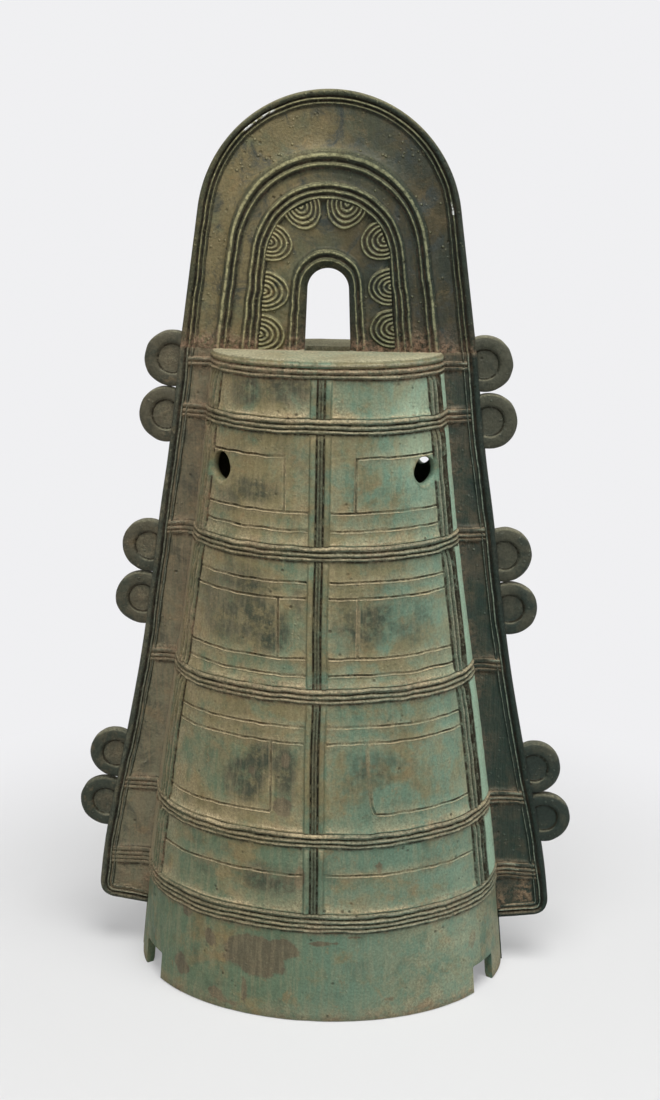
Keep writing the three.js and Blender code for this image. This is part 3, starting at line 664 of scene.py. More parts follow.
# how the cast pattern has worn, filled with dirt and turned tan: shares, and reaches in millimetres
wallWear = {
    "swell": 0.2, "pinch": 0.24, "grain": 0.16,  # how unevenly the bands' ridges rise
    "mostFill": 0.62, "postEnd": (0.3, 4.5),  # dirt between ridges, and the rounding of a post's end
    "stripDark": 0.68, "levelDark": 0.74, "uprightDark": 0.62,  # darkness in the grooves
    "levelShine": 0.97, "uprightShine": 0.9,  # how rubbed the scored lines' lips are
    "tanAboveBand": 8.0, "tanBesidePost": 4.5, "tanBesideLeftPost": 12.0, "tanBesideLine": 1.9,
    "soilUnderPlate": 5.0, "soilAtSeam": 7.0, "crumbReach": 4.0, "crumbHeight": 0.6,
}


def flare(z):
    share = np.asarray(z, float) / body["height"]
    return share - body["flareBend"] * np.sin(2 * np.pi * share)


def halfWidth(z):
    return body["mouthHalfWidth"] + (body["topHalfWidth"] - body["mouthHalfWidth"]) * flare(z)


def halfDepth(z):
    return body["mouthHalfDepth"] + (body["topHalfDepth"] - body["mouthHalfDepth"]) * flare(z)


def ovalPoints(z, angle, out):
    a, b = halfWidth(z), halfDepth(z)
    nx, ny = np.cos(angle) / a, np.sin(angle) / b
    length = np.hypot(nx, ny)
    x = a * np.cos(angle) + out * nx / length
    y = -(b * np.sin(angle) + out * ny / length)
    return np.stack([x, y, z + 0 * angle], axis=-1)


def bandRows(middle, widths):
    # rows up one band: height, rise, crest and groove
    rows = []
    z = middle - sum(widths) / 2
    for i, width in enumerate(widths):
        tall = 0.88 + 0.12 * i / (len(widths) - 1)
        for share, form in ridgeForm:
            low = 0.0 if i == 0 and share == 0 else body["valley"]
            shine = 1.0 if form > 0.96 else 0.6 * form
            rows.append((z + share * width, tall * (low + (1 - low) * form), shine, 1.0 - form))
        z += width
    return rows


def slopeRows(middle, widths):
    # the soft slope from the top ridge of a band up to the panel: height, rise and crest
    top = middle + sum(widths) / 2
    marks = ((0.0, 0.52), (0.7, 0.46), (1.6, 0.32), (2.8, 0.16), (4.2, 0.05), (5.6, 0.0))
    return [(top + up, rise, 0.8 - 0.14 * up) for up, rise in marks]


def faceRows():
    # every row of the outer face from the mouth up, as a table of named columns
    rows = []
    for z in (0.0, 0.9):
        rows.append({"z": z, "edge": z == 0})
    for middle, widths in bandTable:
        low = middle - sum(widths) / 2
        # a dark line just under each band's lower edge: dirt with painted shade from the band
        rows += [{"z": low - 3.2}, {"z": low - 1.8, "groove": 0.15}, {"z": low - 0.7, "groove": 0.6}]
        for z, rise, crest, groove in bandRows(middle, widths):
            if z < body["wallTop"] - 0.2:
                rows.append({"z": z, "rise": rise, "crest": crest, "groove": groove, "band": True})
        if middle < bandTable[-1][0]:
            for z, rise, crest in slopeRows(middle, widths):
                rows.append({"z": z, "slope": rise, "crest": crest})
    for height, reach in lineTable:
        for offset, form in lineForm:
            rows.append({"z": height + offset, "line": form, "reach": reach})
    rows.append({"z": body["wallTop"], "rise": 0.2, "crest": 0.0, "groove": 1.0, "band": True})
    rows.sort(key=lambda row: row["z"])
    filled = [rows[0]]
    for row in rows[1:]:
        gap = row["z"] - filled[-1]["z"]
        steps = max(1, math.ceil(gap / 5.0))
        low = filled[-1]["z"]
        for i in range(1, steps):
            filled.append({"z": low + gap * i / steps})
        filled.append(row)
    return filled


def faceColumns():
    # columns from the right side to the left, each placed against the feature that it belongs to
    half = [("strip", share, 0.7) for share in (0.0, 0.12, 0.3, 0.5, 0.7, 0.88)]
    half += [("side", offset, form) for offset, form in sidePost]
    half += [("outer", share, 0.0) for share in np.linspace(0.02, 0.97, 34)]
    half += [("upright", offset, form) for offset, form in lineForm[::-1]]
    half += [("inner", share, 0.0) for share in np.linspace(0.06, 0.95, 10)]
    right = [column + (1,) for column in half]
    left = [column + (-1,) for column in half[::-1]]
    return right + [("middle", offset, form, 1) for offset, form in middlePost[::-1]] + left


def columnAngles(columns, z, sway):
    # the angle from +X of every column at every height
    a, b = halfWidth(z), halfDepth(z)
    turn = math.radians(body["sidePostAngle"])
    run = np.hypot(a * math.sin(turn), b * math.cos(turn))
    seam = np.arcsin(body["seam"] / b)
    angles = []
    for kind, place, _, hand in columns:
        table = uprightRight if hand > 0 else uprightLeft
        upright = np.interp(z, uprightHeights, table)
        sideStart = turn + (sidePost[0][0] + sway) / run
        sideEnd = turn + (sidePost[-1][0] + sway) / run
        lineOuter = np.arccos((upright + lineForm[-1][0]) / a)
        lineInner = np.arccos((upright + lineForm[0][0]) / a)
        middleStart = np.arccos((middlePost[-1][0] + hand * sway) / a)
        if kind == "strip":
            angle = seam + (sideStart - seam) * place
        elif kind == "side":
            angle = turn + (place + sway) / run
        elif kind == "outer":
            angle = sideEnd + (lineOuter - sideEnd) * place
        elif kind == "upright":
            angle = np.arccos((upright + place) / a)
        elif kind == "inner":
            angle = lineInner + (middleStart - lineInner) * place
        else:
            angle = np.arccos((place + sway) / a)
        angles.append(angle if hand > 0 else np.pi - angle)
    return np.stack(angles, axis=1)


# dark smudges and brown stains on the front: place across and up, half width, half height, strength
smudgePlaces = [
    (-49, 417, 10, 9, 1.0), (-21, 420, 14, 9, 1.1), (-37, 379, 10, 5, 0.5), (-42, 354, 16, 9, 0.75),
    (-60, 345, 10, 8, 0.75), (-54, 279, 23, 21, 1.15), (-30, 266, 13, 15, 0.9), (-13, 284, 6, 13, 0.7),
    (-36, 253, 12, 5, 0.6), (-48, 165, 13, 14, 1.0), (-34, 181, 11, 13, 0.95), (-38, 168, 8, 16, 0.6),
    (-19, 171, 7, 21, 0.95), (-38, 196, 12, 6, 0.6), (-25, 98, 24, 11, 0.85), (-74, 100, 14, 9, 0.55),
    (39, 312, 12, 7, 0.5), (30, 272, 22, 18, 0.72), (60, 268, 18, 16, 0.6), (38, 172, 20, 18, 0.6),
    (22, 166, 10, 20, 0.5), (78, 104, 16, 9, 0.5), (28, 356, 12, 7, 0.45), (30, 30, 30, 6, 0.3),
]
stainPlaces = [
    (-39, 43, 20, 13, 1.0), (-20, 50, 14, 8, 0.85), (-71, 50, 3.5, 6, 0.95), (-67, 10, 6, 5, 0.8),
    (-46, 18, 2.5, 9, 0.8), (6, 56, 16, 3.5, 0.75), (28, 60, 12, 2.5, 0.65), (107, 41, 3.5, 9, 0.75),
    (-9, 101, 4, 9, 0.8), (43, 108, 5, 6, 0.6), (-19, 181, 4, 7, 0.65), (-21, 149, 8, 8, 0.8),
    (-42, 172, 4, 7, 0.6), (47, 188, 6, 9, 0.5), (-92, 20, 8, 9, 0.7), (-58, 7, 16, 4, 0.62),
    (-20, 4, 14, 3, 0.6), (-88, 62, 5, 7, 0.7), (52, 14, 9, 5, 0.6), (36, 3, 26, 2.5, 0.66),
    (74, 7, 12, 4, 0.62), (66, 30, 10, 6, 0.5),
]


def blotches(table, places, shuffle):
    # soft spots at those places, moved about on the back wall so that the two faces differ
    total = np.zeros(len(places))
    for i, (x, z, wide, high, strength) in enumerate(table):
        if shuffle:
            x = 38 * math.sin(2.4 * i) + 0.5 * x
            z = z + 9 * math.cos(1.9 * i)
        away = ((places[:, 0] - x) / wide) ** 2 + ((places[:, 2] - z) / high) ** 2
        total = np.maximum(total, strength * np.exp(-0.6 * away))
    return total


def wallSurface(seed, shuffle):
    # the outer face as grids of places and of the values that the finish reads
    rows = faceRows()
    columns = faceColumns()
    z = np.array([row["z"] for row in rows])
    sway = 0.5 * softNoise(np.stack([z * 0, z * 0, z], 1), 45.0, seed)
    angle = columnAngles(columns, z, sway)
    size = angle.shape

    def column(name):
        return np.array([row.get(name, 0.0) for row in rows], float)[:, None] * np.ones(size)

    rise, slope, crest, groove = column("rise"), column("slope"), column("crest"), column("groove")
    inBand = column("band") > 0
    kinds = np.array([kind for kind, _, _, _ in columns])
    form = np.array([form for _, _, form, _ in columns])[None, :] * np.ones(size)
    height = z[:, None] * np.ones(size)
    hands = np.array([hand for _, _, _, hand in columns])[None, :]
    isMiddle, isSide = (kinds == "middle")[None, :], (kinds == "side")[None, :]
    skirtTop = bandTable[0][0]
    isPost = np.isin(kinds, ("side", "middle"))[None, :] & ~inBand & (height > skirtTop)
    isStrip = (kinds == "strip")[None, :] & ~inBand & (height > skirtTop)
    inPanel = np.isin(kinds, ("outer", "upright", "inner"))[None, :] * np.ones(size, bool)
    edges = [(middle - sum(widths) / 2, middle + sum(widths) / 2) for middle, widths in bandTable]
    toBand = np.min([np.maximum(low - height, height - high) for low, high in edges], axis=0)
    below = np.min([np.where(height < low, low - height, 1e3) for low, _ in edges], axis=0)

    # places before the ridges rise, to read the noise at
    base = ovalPoints(height, angle, 0 * angle).reshape(-1, 3)

    def noise(lump, offset, upright=1):
        return softNoise(base * (1, 1, upright), lump, seed + offset).reshape(size)

    across = base[:, 0].reshape(size)
    lumpy = noise(14.0, 1)
    fineLumps = noise(5.0, 2)
    grain = noise(2.2, 3)
    ropy = noise(11.0, 8, 2.5)
    pinched = noise(3.4, 9, 1.6)
    worn = smoothStep(-across, 10, 80)
    clogged = noise(13.0, 12, 5)
    uneven = 1 + wallWear["swell"] * ropy + wallWear["pinch"] * pinched + wallWear["grain"] * grain
    fill = np.clip(0.12 * ropy + 0.14 * pinched + 0.4 * clogged + 0.2 * worn, 0,
                   wallWear["mostFill"])
    chip = smoothStep(fineLumps * 0.6 + grain * 0.6, 0.35, 0.75)
    bandRise = np.maximum(rise * uneven, (fill + 0.1) * (rise > 0.05)) * (1 - 0.4 * chip * crest)
    slopeRise = slope * (1 + 0.3 * ropy)
    out = np.where(inBand, body["ridgeHeight"] * bandRise, body["ridgeHeight"] * slopeRise)
    groove = np.where(inBand, groove * (1 - 1.1 * fill), groove)
    # the posts stop in rounded ends below each band
    ended = smoothStep(below, *wallWear["postEnd"])
    postRise = body["postHeight"] * form * ended * (1 + 0.12 * lumpy + 0.14 * fineLumps + 0.1 * grain)
    out = np.where(isPost, np.maximum(postRise, out), out)
    out = np.where(isStrip, np.maximum(body["stripHeight"], out), out)
    offset = np.array([place for _, place, _, _ in columns])[None, :] * np.ones(size)
    postLines = np.exp(-((np.abs(offset) - 5.6) / 0.5) ** 2)
    postLines = postLines + 0.8 * np.exp(-((np.abs(offset) - 1.2) / 0.3) ** 2)
    postLines = np.where(isMiddle, postLines, smoothStep(form, 0.8, 0.96))
    crest = np.where(isPost, postLines * ended, crest)
    outerFlank = isMiddle & (np.abs(offset) > 6.1)
    innerPair = isMiddle & (np.abs(offset) < 2.6)
    postGroove = np.clip(1.0 - 1.2 * form, 0, 1) * np.where(outerFlank, 0.35, 1.0)
    postGroove = np.where(innerPair, np.maximum(postGroove, 0.5 - 0.4 * postLines), postGroove)
    groove = np.where(isPost, postGroove, groove)
    # the ridges nearest the smooth strip on the bell's right are the darkest
    rightSide = isSide & (hands > 0)
    besideStrip = isPost & rightSide & (offset < -3.0)
    groove = np.where(besideStrip, np.maximum(groove, wallWear["stripDark"]), groove)
    groove = np.where(isPost & rightSide, np.clip(1.35 * groove, 0, 0.95), groove)
    crest = np.where(isStrip, 0.3, crest)
    sideRelief = np.where(rightSide, 0.95, 0.6)
    postRelief = np.where(innerPair, 0.9, np.where(isSide, sideRelief, 0.15))
    relief = np.where(inBand, 1.0, np.where(isPost, postRelief, 0.0))

    # scored lines, level ones first
    line = column("line")
    full = np.array([row.get("reach") == "full" for row in rows])[:, None]
    outerOnly = (kinds == "outer")[None, :] | ((kinds == "upright")[None, :] & (offset >= -0.3))
    scored = inPanel & (full | outerOnly) & (np.abs(line) > 0)
    depth = np.where(line < 0, line * body["lineDepth"], line * body["lipHeight"])
    firmness = 0.75 + 0.35 * lumpy + 0.25 * fineLumps
    out = np.where(scored, depth * firmness, out)
    clear = np.clip(firmness, 0.1, 1)
    groove = np.where(scored & (line < 0), wallWear["levelDark"] * clear, groove)
    crest = np.where(scored & (line > 0.5), wallWear["levelShine"], crest)
    # upright ones
    isUpright = (kinds == "upright")[None, :] * np.ones(size, bool)
    inSpan = np.zeros(size, bool)
    for low, high in uprightSpans:
        inSpan |= (height >= low - 0.4) & (height <= high + 0.4)
    upright = isUpright & inSpan & ~inBand & (np.abs(form) > 0)
    depth = np.where(form < 0, form * body["lineDepth"], form * body["lipHeight"])
    out = np.where(upright & ~(scored & (line < 0)), depth * firmness, out)
    groove = np.where(upright & (form < 0), wallWear["uprightDark"] * clear, groove)
    crest = np.where(upright & (form > 0.5), wallWear["uprightShine"], crest)

    # how near each place is to a band or a post, and to the middle of its panel
    run = np.hypot(halfWidth(height) * np.sin(angle), halfDepth(height) * np.cos(angle))
    step = np.abs(np.diff(angle, axis=1)) * (run[:, 1:] + run[:, :-1]) / 2
    along = np.concatenate([np.zeros((size[0], 1)), np.cumsum(step, axis=1)], axis=1)
    posted = np.isin(kinds, ("side", "middle", "strip"))
    toPost = np.full(size, 1e3)
    for index in np.flatnonzero(posted):
        toPost = np.minimum(toPost, np.abs(along - along[:, index:index + 1]))
    above = np.min([np.where(height > high, height - high, 1e3) for _, high in edges], axis=0)
    leftness = smoothStep(-across, 30, 85) * smoothStep(height, 60, 150)
    postReach = wallWear["tanBesidePost"] + wallWear["tanBesideLeftPost"] * leftness
    border = 0.9 * np.exp(-above / wallWear["tanAboveBand"]) + 0.75 * np.exp(-toPost / postReach)
    border = border + 0.25 * leftness
    border = np.where(inPanel & (height > skirtTop), np.clip(border, 0, 1), 0.0)
    # tan earth has settled along the scored lines
    toLine = np.full(size, 1e3)
    for row in rows:
        if row.get("line", 0) < -0.9:
            reached = inPanel & (row.get("reach") == "full" or outerOnly)
            toLine = np.where(reached, np.minimum(toLine, np.abs(height - row["z"])), toLine)
    toLine = np.where(upright, np.minimum(toLine, np.abs(offset)), toLine)
    border = np.maximum(border, 0.95 * np.exp(-(toLine / wallWear["tanBesideLine"]) ** 2))
    rightness = smoothStep(across, 15, 90)
    skirtBorder = 0.45 * smoothStep(height, 18, 0) + 0.68 * rightness
    border = np.where(height < skirtTop - 7, skirtBorder, border)
    patches = noise(24.0, 13)
    ledge = (0.55 + 0.5 * patches) * np.exp(-np.maximum(above - 0.4, 0) / 2.6) * (above < 900)
    topRidge = np.min([np.abs(height - high + 1.6) for _, high in edges], axis=0)
    ledge = np.maximum(ledge, 0.62 * smoothStep(topRidge, 1.8, 0.9) * (0.8 + 0.55 * patches))
    ledge = np.where(inPanel | inBand, ledge, 0.25 * ledge)
    lips = np.where(scored & (line > 0.5), 1.0, np.where(upright & (form > 0.5), 0.85, 0.0))
    ledge = np.where(above < 900, ledge, 0) * (height < body["wallTop"] - 4)
    ledge = np.clip(np.maximum(ledge, lips * (0.58 + 0.5 * fineLumps)), 0, 1)
    smudge = blotches(smudgePlaces, base, shuffle).reshape(size)
    # painted shade on the panel just under each band, laid in with the dark smudges
    smudge = np.maximum(smudge, np.where(inPanel, 0.5 * np.exp(-below / 6.0), 0))
    stain = blotches(stainPlaces, base, shuffle).reshape(size)

    # crumbs of earth have set beside the posts on the bell's left
    nearPost = np.exp(-toPost / wallWear["crumbReach"]) * smoothStep(-across, 30, 70)
    nearPost = nearPost * (height > skirtTop)
    crumbly = smoothStep(0.6 * fineLumps + 0.7 * grain, 0.15, 0.8)
    out = out + wallWear["crumbHeight"] * crumbly * nearPost
    edge = column("edge") > 0
    out = np.where(edge, -0.9, out)
    out = out + body["roughness"] * (0.8 * lumpy + 0.5 * fineLumps + 0.22 * grain)

    # the hand-laid pattern wanders a little up and down
    drift = noise(42.0, 4, 0.6)
    quiver = noise(12.0, 5, 0.7)
    hold = smoothStep(height, 0, 40) * smoothStep(body["wallTop"] - height, 0, 8)
    sideHold = smoothStep(np.abs(np.cos(angle)), 1.0, 0.9)
    ridgeQuiver = noise(9.0, 10, 1.8) * smoothStep(-toBand, -2.0, 1.0)
    lineQuiver = noise(7.0, 11, 0.3) * (toBand > 3)
    wander = body["waviness"] * drift + 0.3 * quiver + 0.5 * ridgeQuiver + 0.45 * lineQuiver
    moved = height + hold * (0.3 + 0.7 * sideHold) * wander
    places = ovalPoints(moved, angle, out)

    # the panels turn paler towards the smooth strip, most of all near the top
    share = across / halfWidth(height)
    pale = 0.36 * smoothStep(share, 0.35, 0.8) * smoothStep(height, 330, 400)
    pale = pale + 0.18 * smoothStep(share, 0.5, 0.85)
    pale = np.where(isStrip, 1.0, np.where(inPanel, pale * (0.8 + 0.5 * lumpy), 0.0))

    toSeam = np.minimum(along, along[:, -1:] - along)
    soil = 0.8 * np.exp(-(body["wallTop"] - height) / wallWear["soilUnderPlate"])
    soil = soil + 0.55 * np.exp(-toSeam / wallWear["soilAtSeam"]) * (height > 60)
    soil = soil + np.where(toBand < 3.0, 0.3, 0.0) * smoothStep(noise(20.0, 6), 0.0, 0.5)
    soil = soil + 0.75 * smoothStep(height, 13, 0) * (0.55 + 0.8 * lumpy)
    soil = soil + 0.5 * nearPost * smoothStep(lumpy + 0.5 * fineLumps, -0.2, 0.8)
    values = {"crest": crest, "groove": groove, "border": border, "smudge": smudge, "relief": relief,
              "stain": stain, "soil": np.clip(soil, 0, 1), "pale": pale, "ledge": ledge}
    return columns, places, values


def innerRowTable():
    low, high = body["strikeHeight"], body["strikeHalfWidth"]
    table = [(z, -body["wall"]) for z in np.linspace(body["wallTop"], low + high + 2, 16)]
    for share in (1.0, 0.6, 0.0, -0.6, -1.0):
        table.append((low + share * high, -body["wall"] - body["strikeRidge"] * (1 - share * share)))
    return table + [(z, -body["wall"]) for z in (30.0, 16.0, 3.0)] + [(0.0, -body["wall"] + 0.8)]


coreHole = {
    "angle": 36.0, "height": 366.0, "radius": 8.7,
    # along the cutter, from inside the wall outwards: place, and how much wider it is there
    "swell": ((-16, 4.0), (-4, 2.2), (-2.6, 0.7), (-1.4, 0.0), (1.2, 0.0), (2.2, 0.5), (3.1, 1.6),
              (5, 4.0), (16, 6.0)),
}
mouthNotch = {"angle": 26.0, "width": 24.0, "height": 20.0, "overrun": 5.0, "depth": 26.0, "bevel": 1.5}


def holeCutter(angle):
    # a round bar that swells towards both ends, so that the hole's lips are soft
    height = np.array([coreHole["height"]])
    spot = ovalPoints(height, np.array([angle]), np.array([-body["wall"] / 2]))[0]
    direction = ovalPoints(height, np.array([angle]), np.array([10.0]))[0] - spot
    turn = np.linspace(0, 2 * np.pi, 49)
    rings = []
    for along, grow in coreHole["swell"]:
        size = coreHole["radius"] + grow
        wobble = 0.3 * np.sin(2 * turn + 1) + 0.15 * np.sin(5 * turn)
        rings.append(np.stack([(size + wobble) * np.cos(turn), (size * 1.05 + wobble) * np.sin(turn),
                               0 * turn + along], 1))
    rings = np.array(rings)
    rings[:, -1] = rings[:, 0]
    cutter = addGrid("hole_cutter", rings)
    editAll(cutter, mergeDoubles, closeHoles, faceOutwards)
    lean = Vector((0, 0, 1)).rotation_difference(Vector(direction)).to_matrix().to_4x4()
    cutter.data.transform(Matrix.Translation(Vector(spot) * mm) @ lean)
    return cutter


def notchCutter(angle):
    spot = ovalPoints(np.array([0.0]), np.array([angle]), np.array([-body["wall"] / 2]))[0]
    direction = ovalPoints(np.array([0.0]), np.array([angle]), np.array([10.0]))[0] - spot
    deselectAll()
    bpy.ops.mesh.primitive_cube_add(size=1)
    cutter = bpy.context.object
    overrun = mouthNotch["overrun"]
    lift = (mouthNotch["height"] - overrun) / 2
    size = Matrix.Diagonal((mouthNotch["width"] * mm, mouthNotch["depth"] * mm,
                            (mouthNotch["height"] + overrun) * mm, 1.0))
    turn = Matrix.Rotation(math.atan2(direction[1], direction[0]) + math.pi / 2, 4, "Z")
    cutter.data.transform(Matrix.Translation(Vector((spot[0], spot[1], lift)) * mm) @ turn @ size)
    editAll(cutter, lambda: bevelSharp(mouthNotch["bevel"]))
    return cutter


def darkenHoles(piece):
    # no dust settles on the lips of the core holes
    places = points(piece)
    angle = np.array([math.radians(coreHole["angle"])])
    middle = abs(ovalPoints(np.array([coreHole["height"]]), angle, np.array([0.0]))[0][0])
    away = np.hypot(np.abs(places[:, 0]) - middle, places[:, 2] - coreHole["height"])
    near = smoothStep(away, coreHole["radius"] + 3.0, coreHole["radius"] + 0.5)
    paint(piece, "up", facingUp(piece) * (1 - near))


def bodyWall(name, node, turn, seed, shuffle):
    columns, outer, values = wallSurface(seed, shuffle)
    table = innerRowTable()
    z = np.array([height for height, _ in table])
    angle = columnAngles(columns, z, 0 * z)
    out = np.array([rise for _, rise in table])[:, None] * np.ones(angle.shape)
    inner = ovalPoints(z[:, None] * np.ones(angle.shape), angle, out)
    lumps = softNoise(inner.reshape(-1, 3), 12.0, seed + 7).reshape(angle.shape)
    inner += 0.25 * lumps[..., None] * (1, 1, 0)
    everything = np.concatenate([outer, inner, outer[:1]], axis=0)
    seamY = -body["seam"]
    everything[:, 0, 1] = seamY
    everything[:, -1, 1] = seamY
    piece = addGrid(name, everything)
    for title, grid in values.items():
        plain = np.zeros(everything.shape[:2])
        plain[:len(grid)] = grid
        plain[-1] = grid[0]
        paint(piece, title, plain)
    editAll(piece, mergeDoubles, closeHoles, faceOutwards)
    for degrees in (coreHole["angle"], 180 - coreHole["angle"]):
        cut(piece, holeCutter(math.radians(degrees)))
    for degrees in (mouthNotch["angle"], 180 - mouthNotch["angle"]):
        cut(piece, notchCutter(math.radians(degrees)))
    piece.data.transform(Matrix.Rotation(turn, 4, "Z"))
    finishPiece(piece, node, "bell", wallBronze)
    darkenHoles(piece)
    print(name, "built with", len(piece.data.polygons), "faces")


bodyWall("front_wall_cast", "front_wall", 0.0, 3, shuffle=False)
bodyWall("back_wall_cast", "back_wall", math.pi, 41, shuffle=True)


# The handle: a flat arch, thick in the middle, with ridged arches on both faces

handle = {
    "foot": 437.5, "top": 600.0, "footHalfWidth": 97.0, "crownRadius": 85.0,
    "openingTop": 490.0, "openingFoot": 15.0, "openingRadius": 13.5,
    "floor": 6.4, "waver": 0.45, "roughness": 0.22,
    "legSteps": 38, "crownSteps": 92,
    # rough lengths that turn places on the arch into millimetres for the noise
    "stationLength": 150.0, "crownDepth": 110.0, "footDepth": 82.0,
    # shares of the arch that are smooth ground between the ridges
    "plain": ((0.09, 0.325), (0.45, 0.5), (0.63, 0.875)),
    # chips on the rim: the share that they lie on, then height, reach up and down, and span across
    "chipShare": 0.0493, "chips": ((583, 8, -62, -34), (527, 5, 70, 1000)),
    # where the soil at the foot starts and how far up it fades
    "soilFoot": 438, "soilFade": 7.0, "crumbFade": 5.0,
}
# Each stretch runs inwards between two shares of the arch, at the crown and at the feet. Its
# points are the share of the stretch, the half thickness, and how much it is crest or groove.
handleStretches = [
    ((0.0, 0.0), (0.085, 0.135), (
        (0.0, 1.9, 0, 0.5), (0.02, 3.2, 0, 0.45), (0.06, 4.5, 0, 0.4), (0.13, 5.3, 0.1, 0.3),
        (0.22, 5.6, 0.75, 0.1), (0.31, 5.3, 0.3, 0.2), (0.37, 4.5, 0, 0.6), (0.41, 3.4, 0, 1),
        (0.47, 3.1, 0, 1), (0.5, 3.9, 0, 0.5), (0.54, 5.0, 0.8, 0), (0.58, 5.3, 1, 0),
        (0.62, 5.0, 0.8, 0), (0.66, 3.9, 0, 0.6), (0.7, 3.1, 0, 1), (0.76, 3.1, 0, 1),
        (0.8, 3.8, 0, 0.4), (0.84, 4.6, 0.8, 0), (0.88, 4.7, 0.9, 0), (0.92, 4.2, 0.4, 0.1),
        (0.96, 3.5, 0, 0.5))),
    ((0.085, 0.135), (0.335, 0.29), (
        (0.0, 3.35, 0, 0.7), (0.05, 3.3, 0, 0.3), (0.12, 3.4, 0, 0), (0.22, 3.5, 0, 0),
        (0.32, 3.5, 0, 0), (0.42, 3.6, 0, 0), (0.52, 3.75, 0, 0), (0.62, 3.95, 0, 0),
        (0.71, 4.25, 0, 0), (0.79, 4.7, 0, 0), (0.86, 5.3, 0, 0), (0.92, 6.0, 0, 0),
        (0.97, 6.8, 0.2, 0))),
    ((0.335, 0.29), (0.44, 0.4), (
        (0.0, 7.4, 0.4, 0), (0.09, 8.1, 0.8, 0), (0.19, 8.5, 1, 0), (0.29, 8.4, 0.9, 0),
        (0.37, 7.9, 0.5, 0), (0.43, 6.9, 0, 0.7), (0.48, 6.2, 0, 1), (0.53, 6.2, 0, 1),
        (0.57, 6.9, 0, 0.6), (0.63, 7.8, 0.7, 0), (0.7, 8.2, 1, 0), (0.77, 7.9, 0.8, 0),
        (0.83, 6.9, 0.1, 0.5), (0.89, 6.2, 0, 1), (0.95, 6.2, 0, 0.7))),
    ((0.44, 0.4), (0.505, 0.49), (
        (0.0, 6.3, 0, 0.4), (0.25, 6.4, 0, 0.1), (0.6, 6.4, 0, 0.1), (0.9, 6.4, 0, 0.4))),
    ((0.505, 0.49), (0.615, 0.64), (
        (0.0, 6.6, 0, 0.5), (0.05, 7.4, 0.4, 0), (0.11, 8.2, 0.9, 0), (0.17, 8.4, 1, 0),
        (0.22, 8.1, 0.8, 0), (0.27, 7.2, 0, 0.6), (0.31, 6.5, 0, 1), (0.36, 6.5, 0, 1),
        (0.4, 7.2, 0, 0.5), (0.45, 8.0, 0.8, 0), (0.5, 8.3, 1, 0), (0.55, 8.0, 0.8, 0),
        (0.6, 7.2, 0, 0.6), (0.64, 6.5, 0, 1), (0.69, 6.5, 0, 1), (0.73, 7.2, 0, 0.5),
        (0.78, 7.9, 0.8, 0), (0.83, 8.2, 1, 0), (0.88, 7.9, 0.8, 0), (0.94, 7.0, 0.1, 0.6))),
    ((0.615, 0.64), (0.885, 0.865), (
        (0.0, 6.3, 0, 0.8), (0.05, 6.3, 0, 0.3), (0.2, 6.4, 0, 0), (0.4, 6.4, 0, 0), (0.6, 6.4, 0, 0),
        (0.8, 6.4, 0, 0), (0.94, 6.4, 0, 0.3))),
    ((0.885, 0.865), (1.0, 1.0), (
        (0.0, 6.6, 0, 0.5), (0.06, 7.5, 0.4, 0), (0.12, 8.2, 0.9, 0), (0.18, 8.4, 1, 0),
        (0.24, 8.1, 0.7, 0), (0.3, 7.1, 0, 0.6), (0.35, 6.5, 0, 1), (0.4, 6.6, 0, 1),
        (0.45, 7.4, 0, 0.4), (0.51, 8.1, 0.8, 0), (0.57, 8.2, 1, 0), (0.64, 7.7, 0.6, 0),
        (0.72, 6.5, 0, 0.2), (0.82, 5.0, 0, 0.3), (0.92, 3.5, 0, 0.4), (0.98, 2.4, 0, 0.5),
        (1.0, 1.4, 0, 0.5))),
]


def archPoints(crownShare, footShare, stations):
    # places along a leg, a round crown and the other leg, for every station and every share
    foot = handle["foot"]
    footWidth = handle["footHalfWidth"] + (handle["openingFoot"] - handle["footHalfWidth"]) * footShare
    radius = handle["crownRadius"] + (handle["openingRadius"] - handle["crownRadius"]) * footShare
    crown = handle["top"] + (handle["openingTop"] - handle["top"]) * crownShare
    centre = crown - radius
    lean = np.arccos(radius / np.hypot(footWidth, foot - centre))
    start = np.arctan2(foot - centre, footWidth) + lean
    tangentX, tangentZ = radius * np.cos(start), centre + radius * np.sin(start)
    leg = np.clip(stations, 0, 1)
    turn = np.clip(stations - 1, 0, 1)
    back = np.clip(stations - 2, 0, 1)
    angle = start + (np.pi - 2 * start) * turn
    x = np.where(stations <= 1, footWidth + (tangentX - footWidth) * leg, radius * np.cos(angle))
    z = np.where(stations <= 1, foot + (tangentZ - foot) * leg, centre + radius * np.sin(angle))
    x = np.where(stations > 2, -tangentX - (footWidth - tangentX) * back, x)
    z = np.where(stations > 2, tangentZ + (foot - tangentZ) * back, z)
    return x, z


def handleSection():
    table = []
    for (crownLow, footLow), (crownHigh, footHigh), marks in handleStretches:
        for share, half, crest, groove in marks:
            atCrown = crownLow + (crownHigh - crownLow) * share
            atFoot = footLow + (footHigh - footLow) * share
            table.append((atCrown, atFoot, half, crest, groove))
    return np.array(table, float)


def archStations():
    leg = np.linspace(0, 1, handle["legSteps"], endpoint=False)
    turn = np.linspace(1, 2, handle["crownSteps"], endpoint=False)
    return np.concatenate([leg, turn, np.linspace(2, 3, handle["legSteps"] + 1)])


# the half rounds of raised arcs inside the triple ridge
halfRound = {
    "radius": 13.7, "step": 0.45, "arcs": (1.2, 4.0, 6.8, 9.6, 12.4), "arcHalfWidth": 1.25,
    "rise": 1.2, "swell": 0.5, "across": 1.2, "along": 0.94, "crownShare": 0.615, "footShare": 0.645,
}


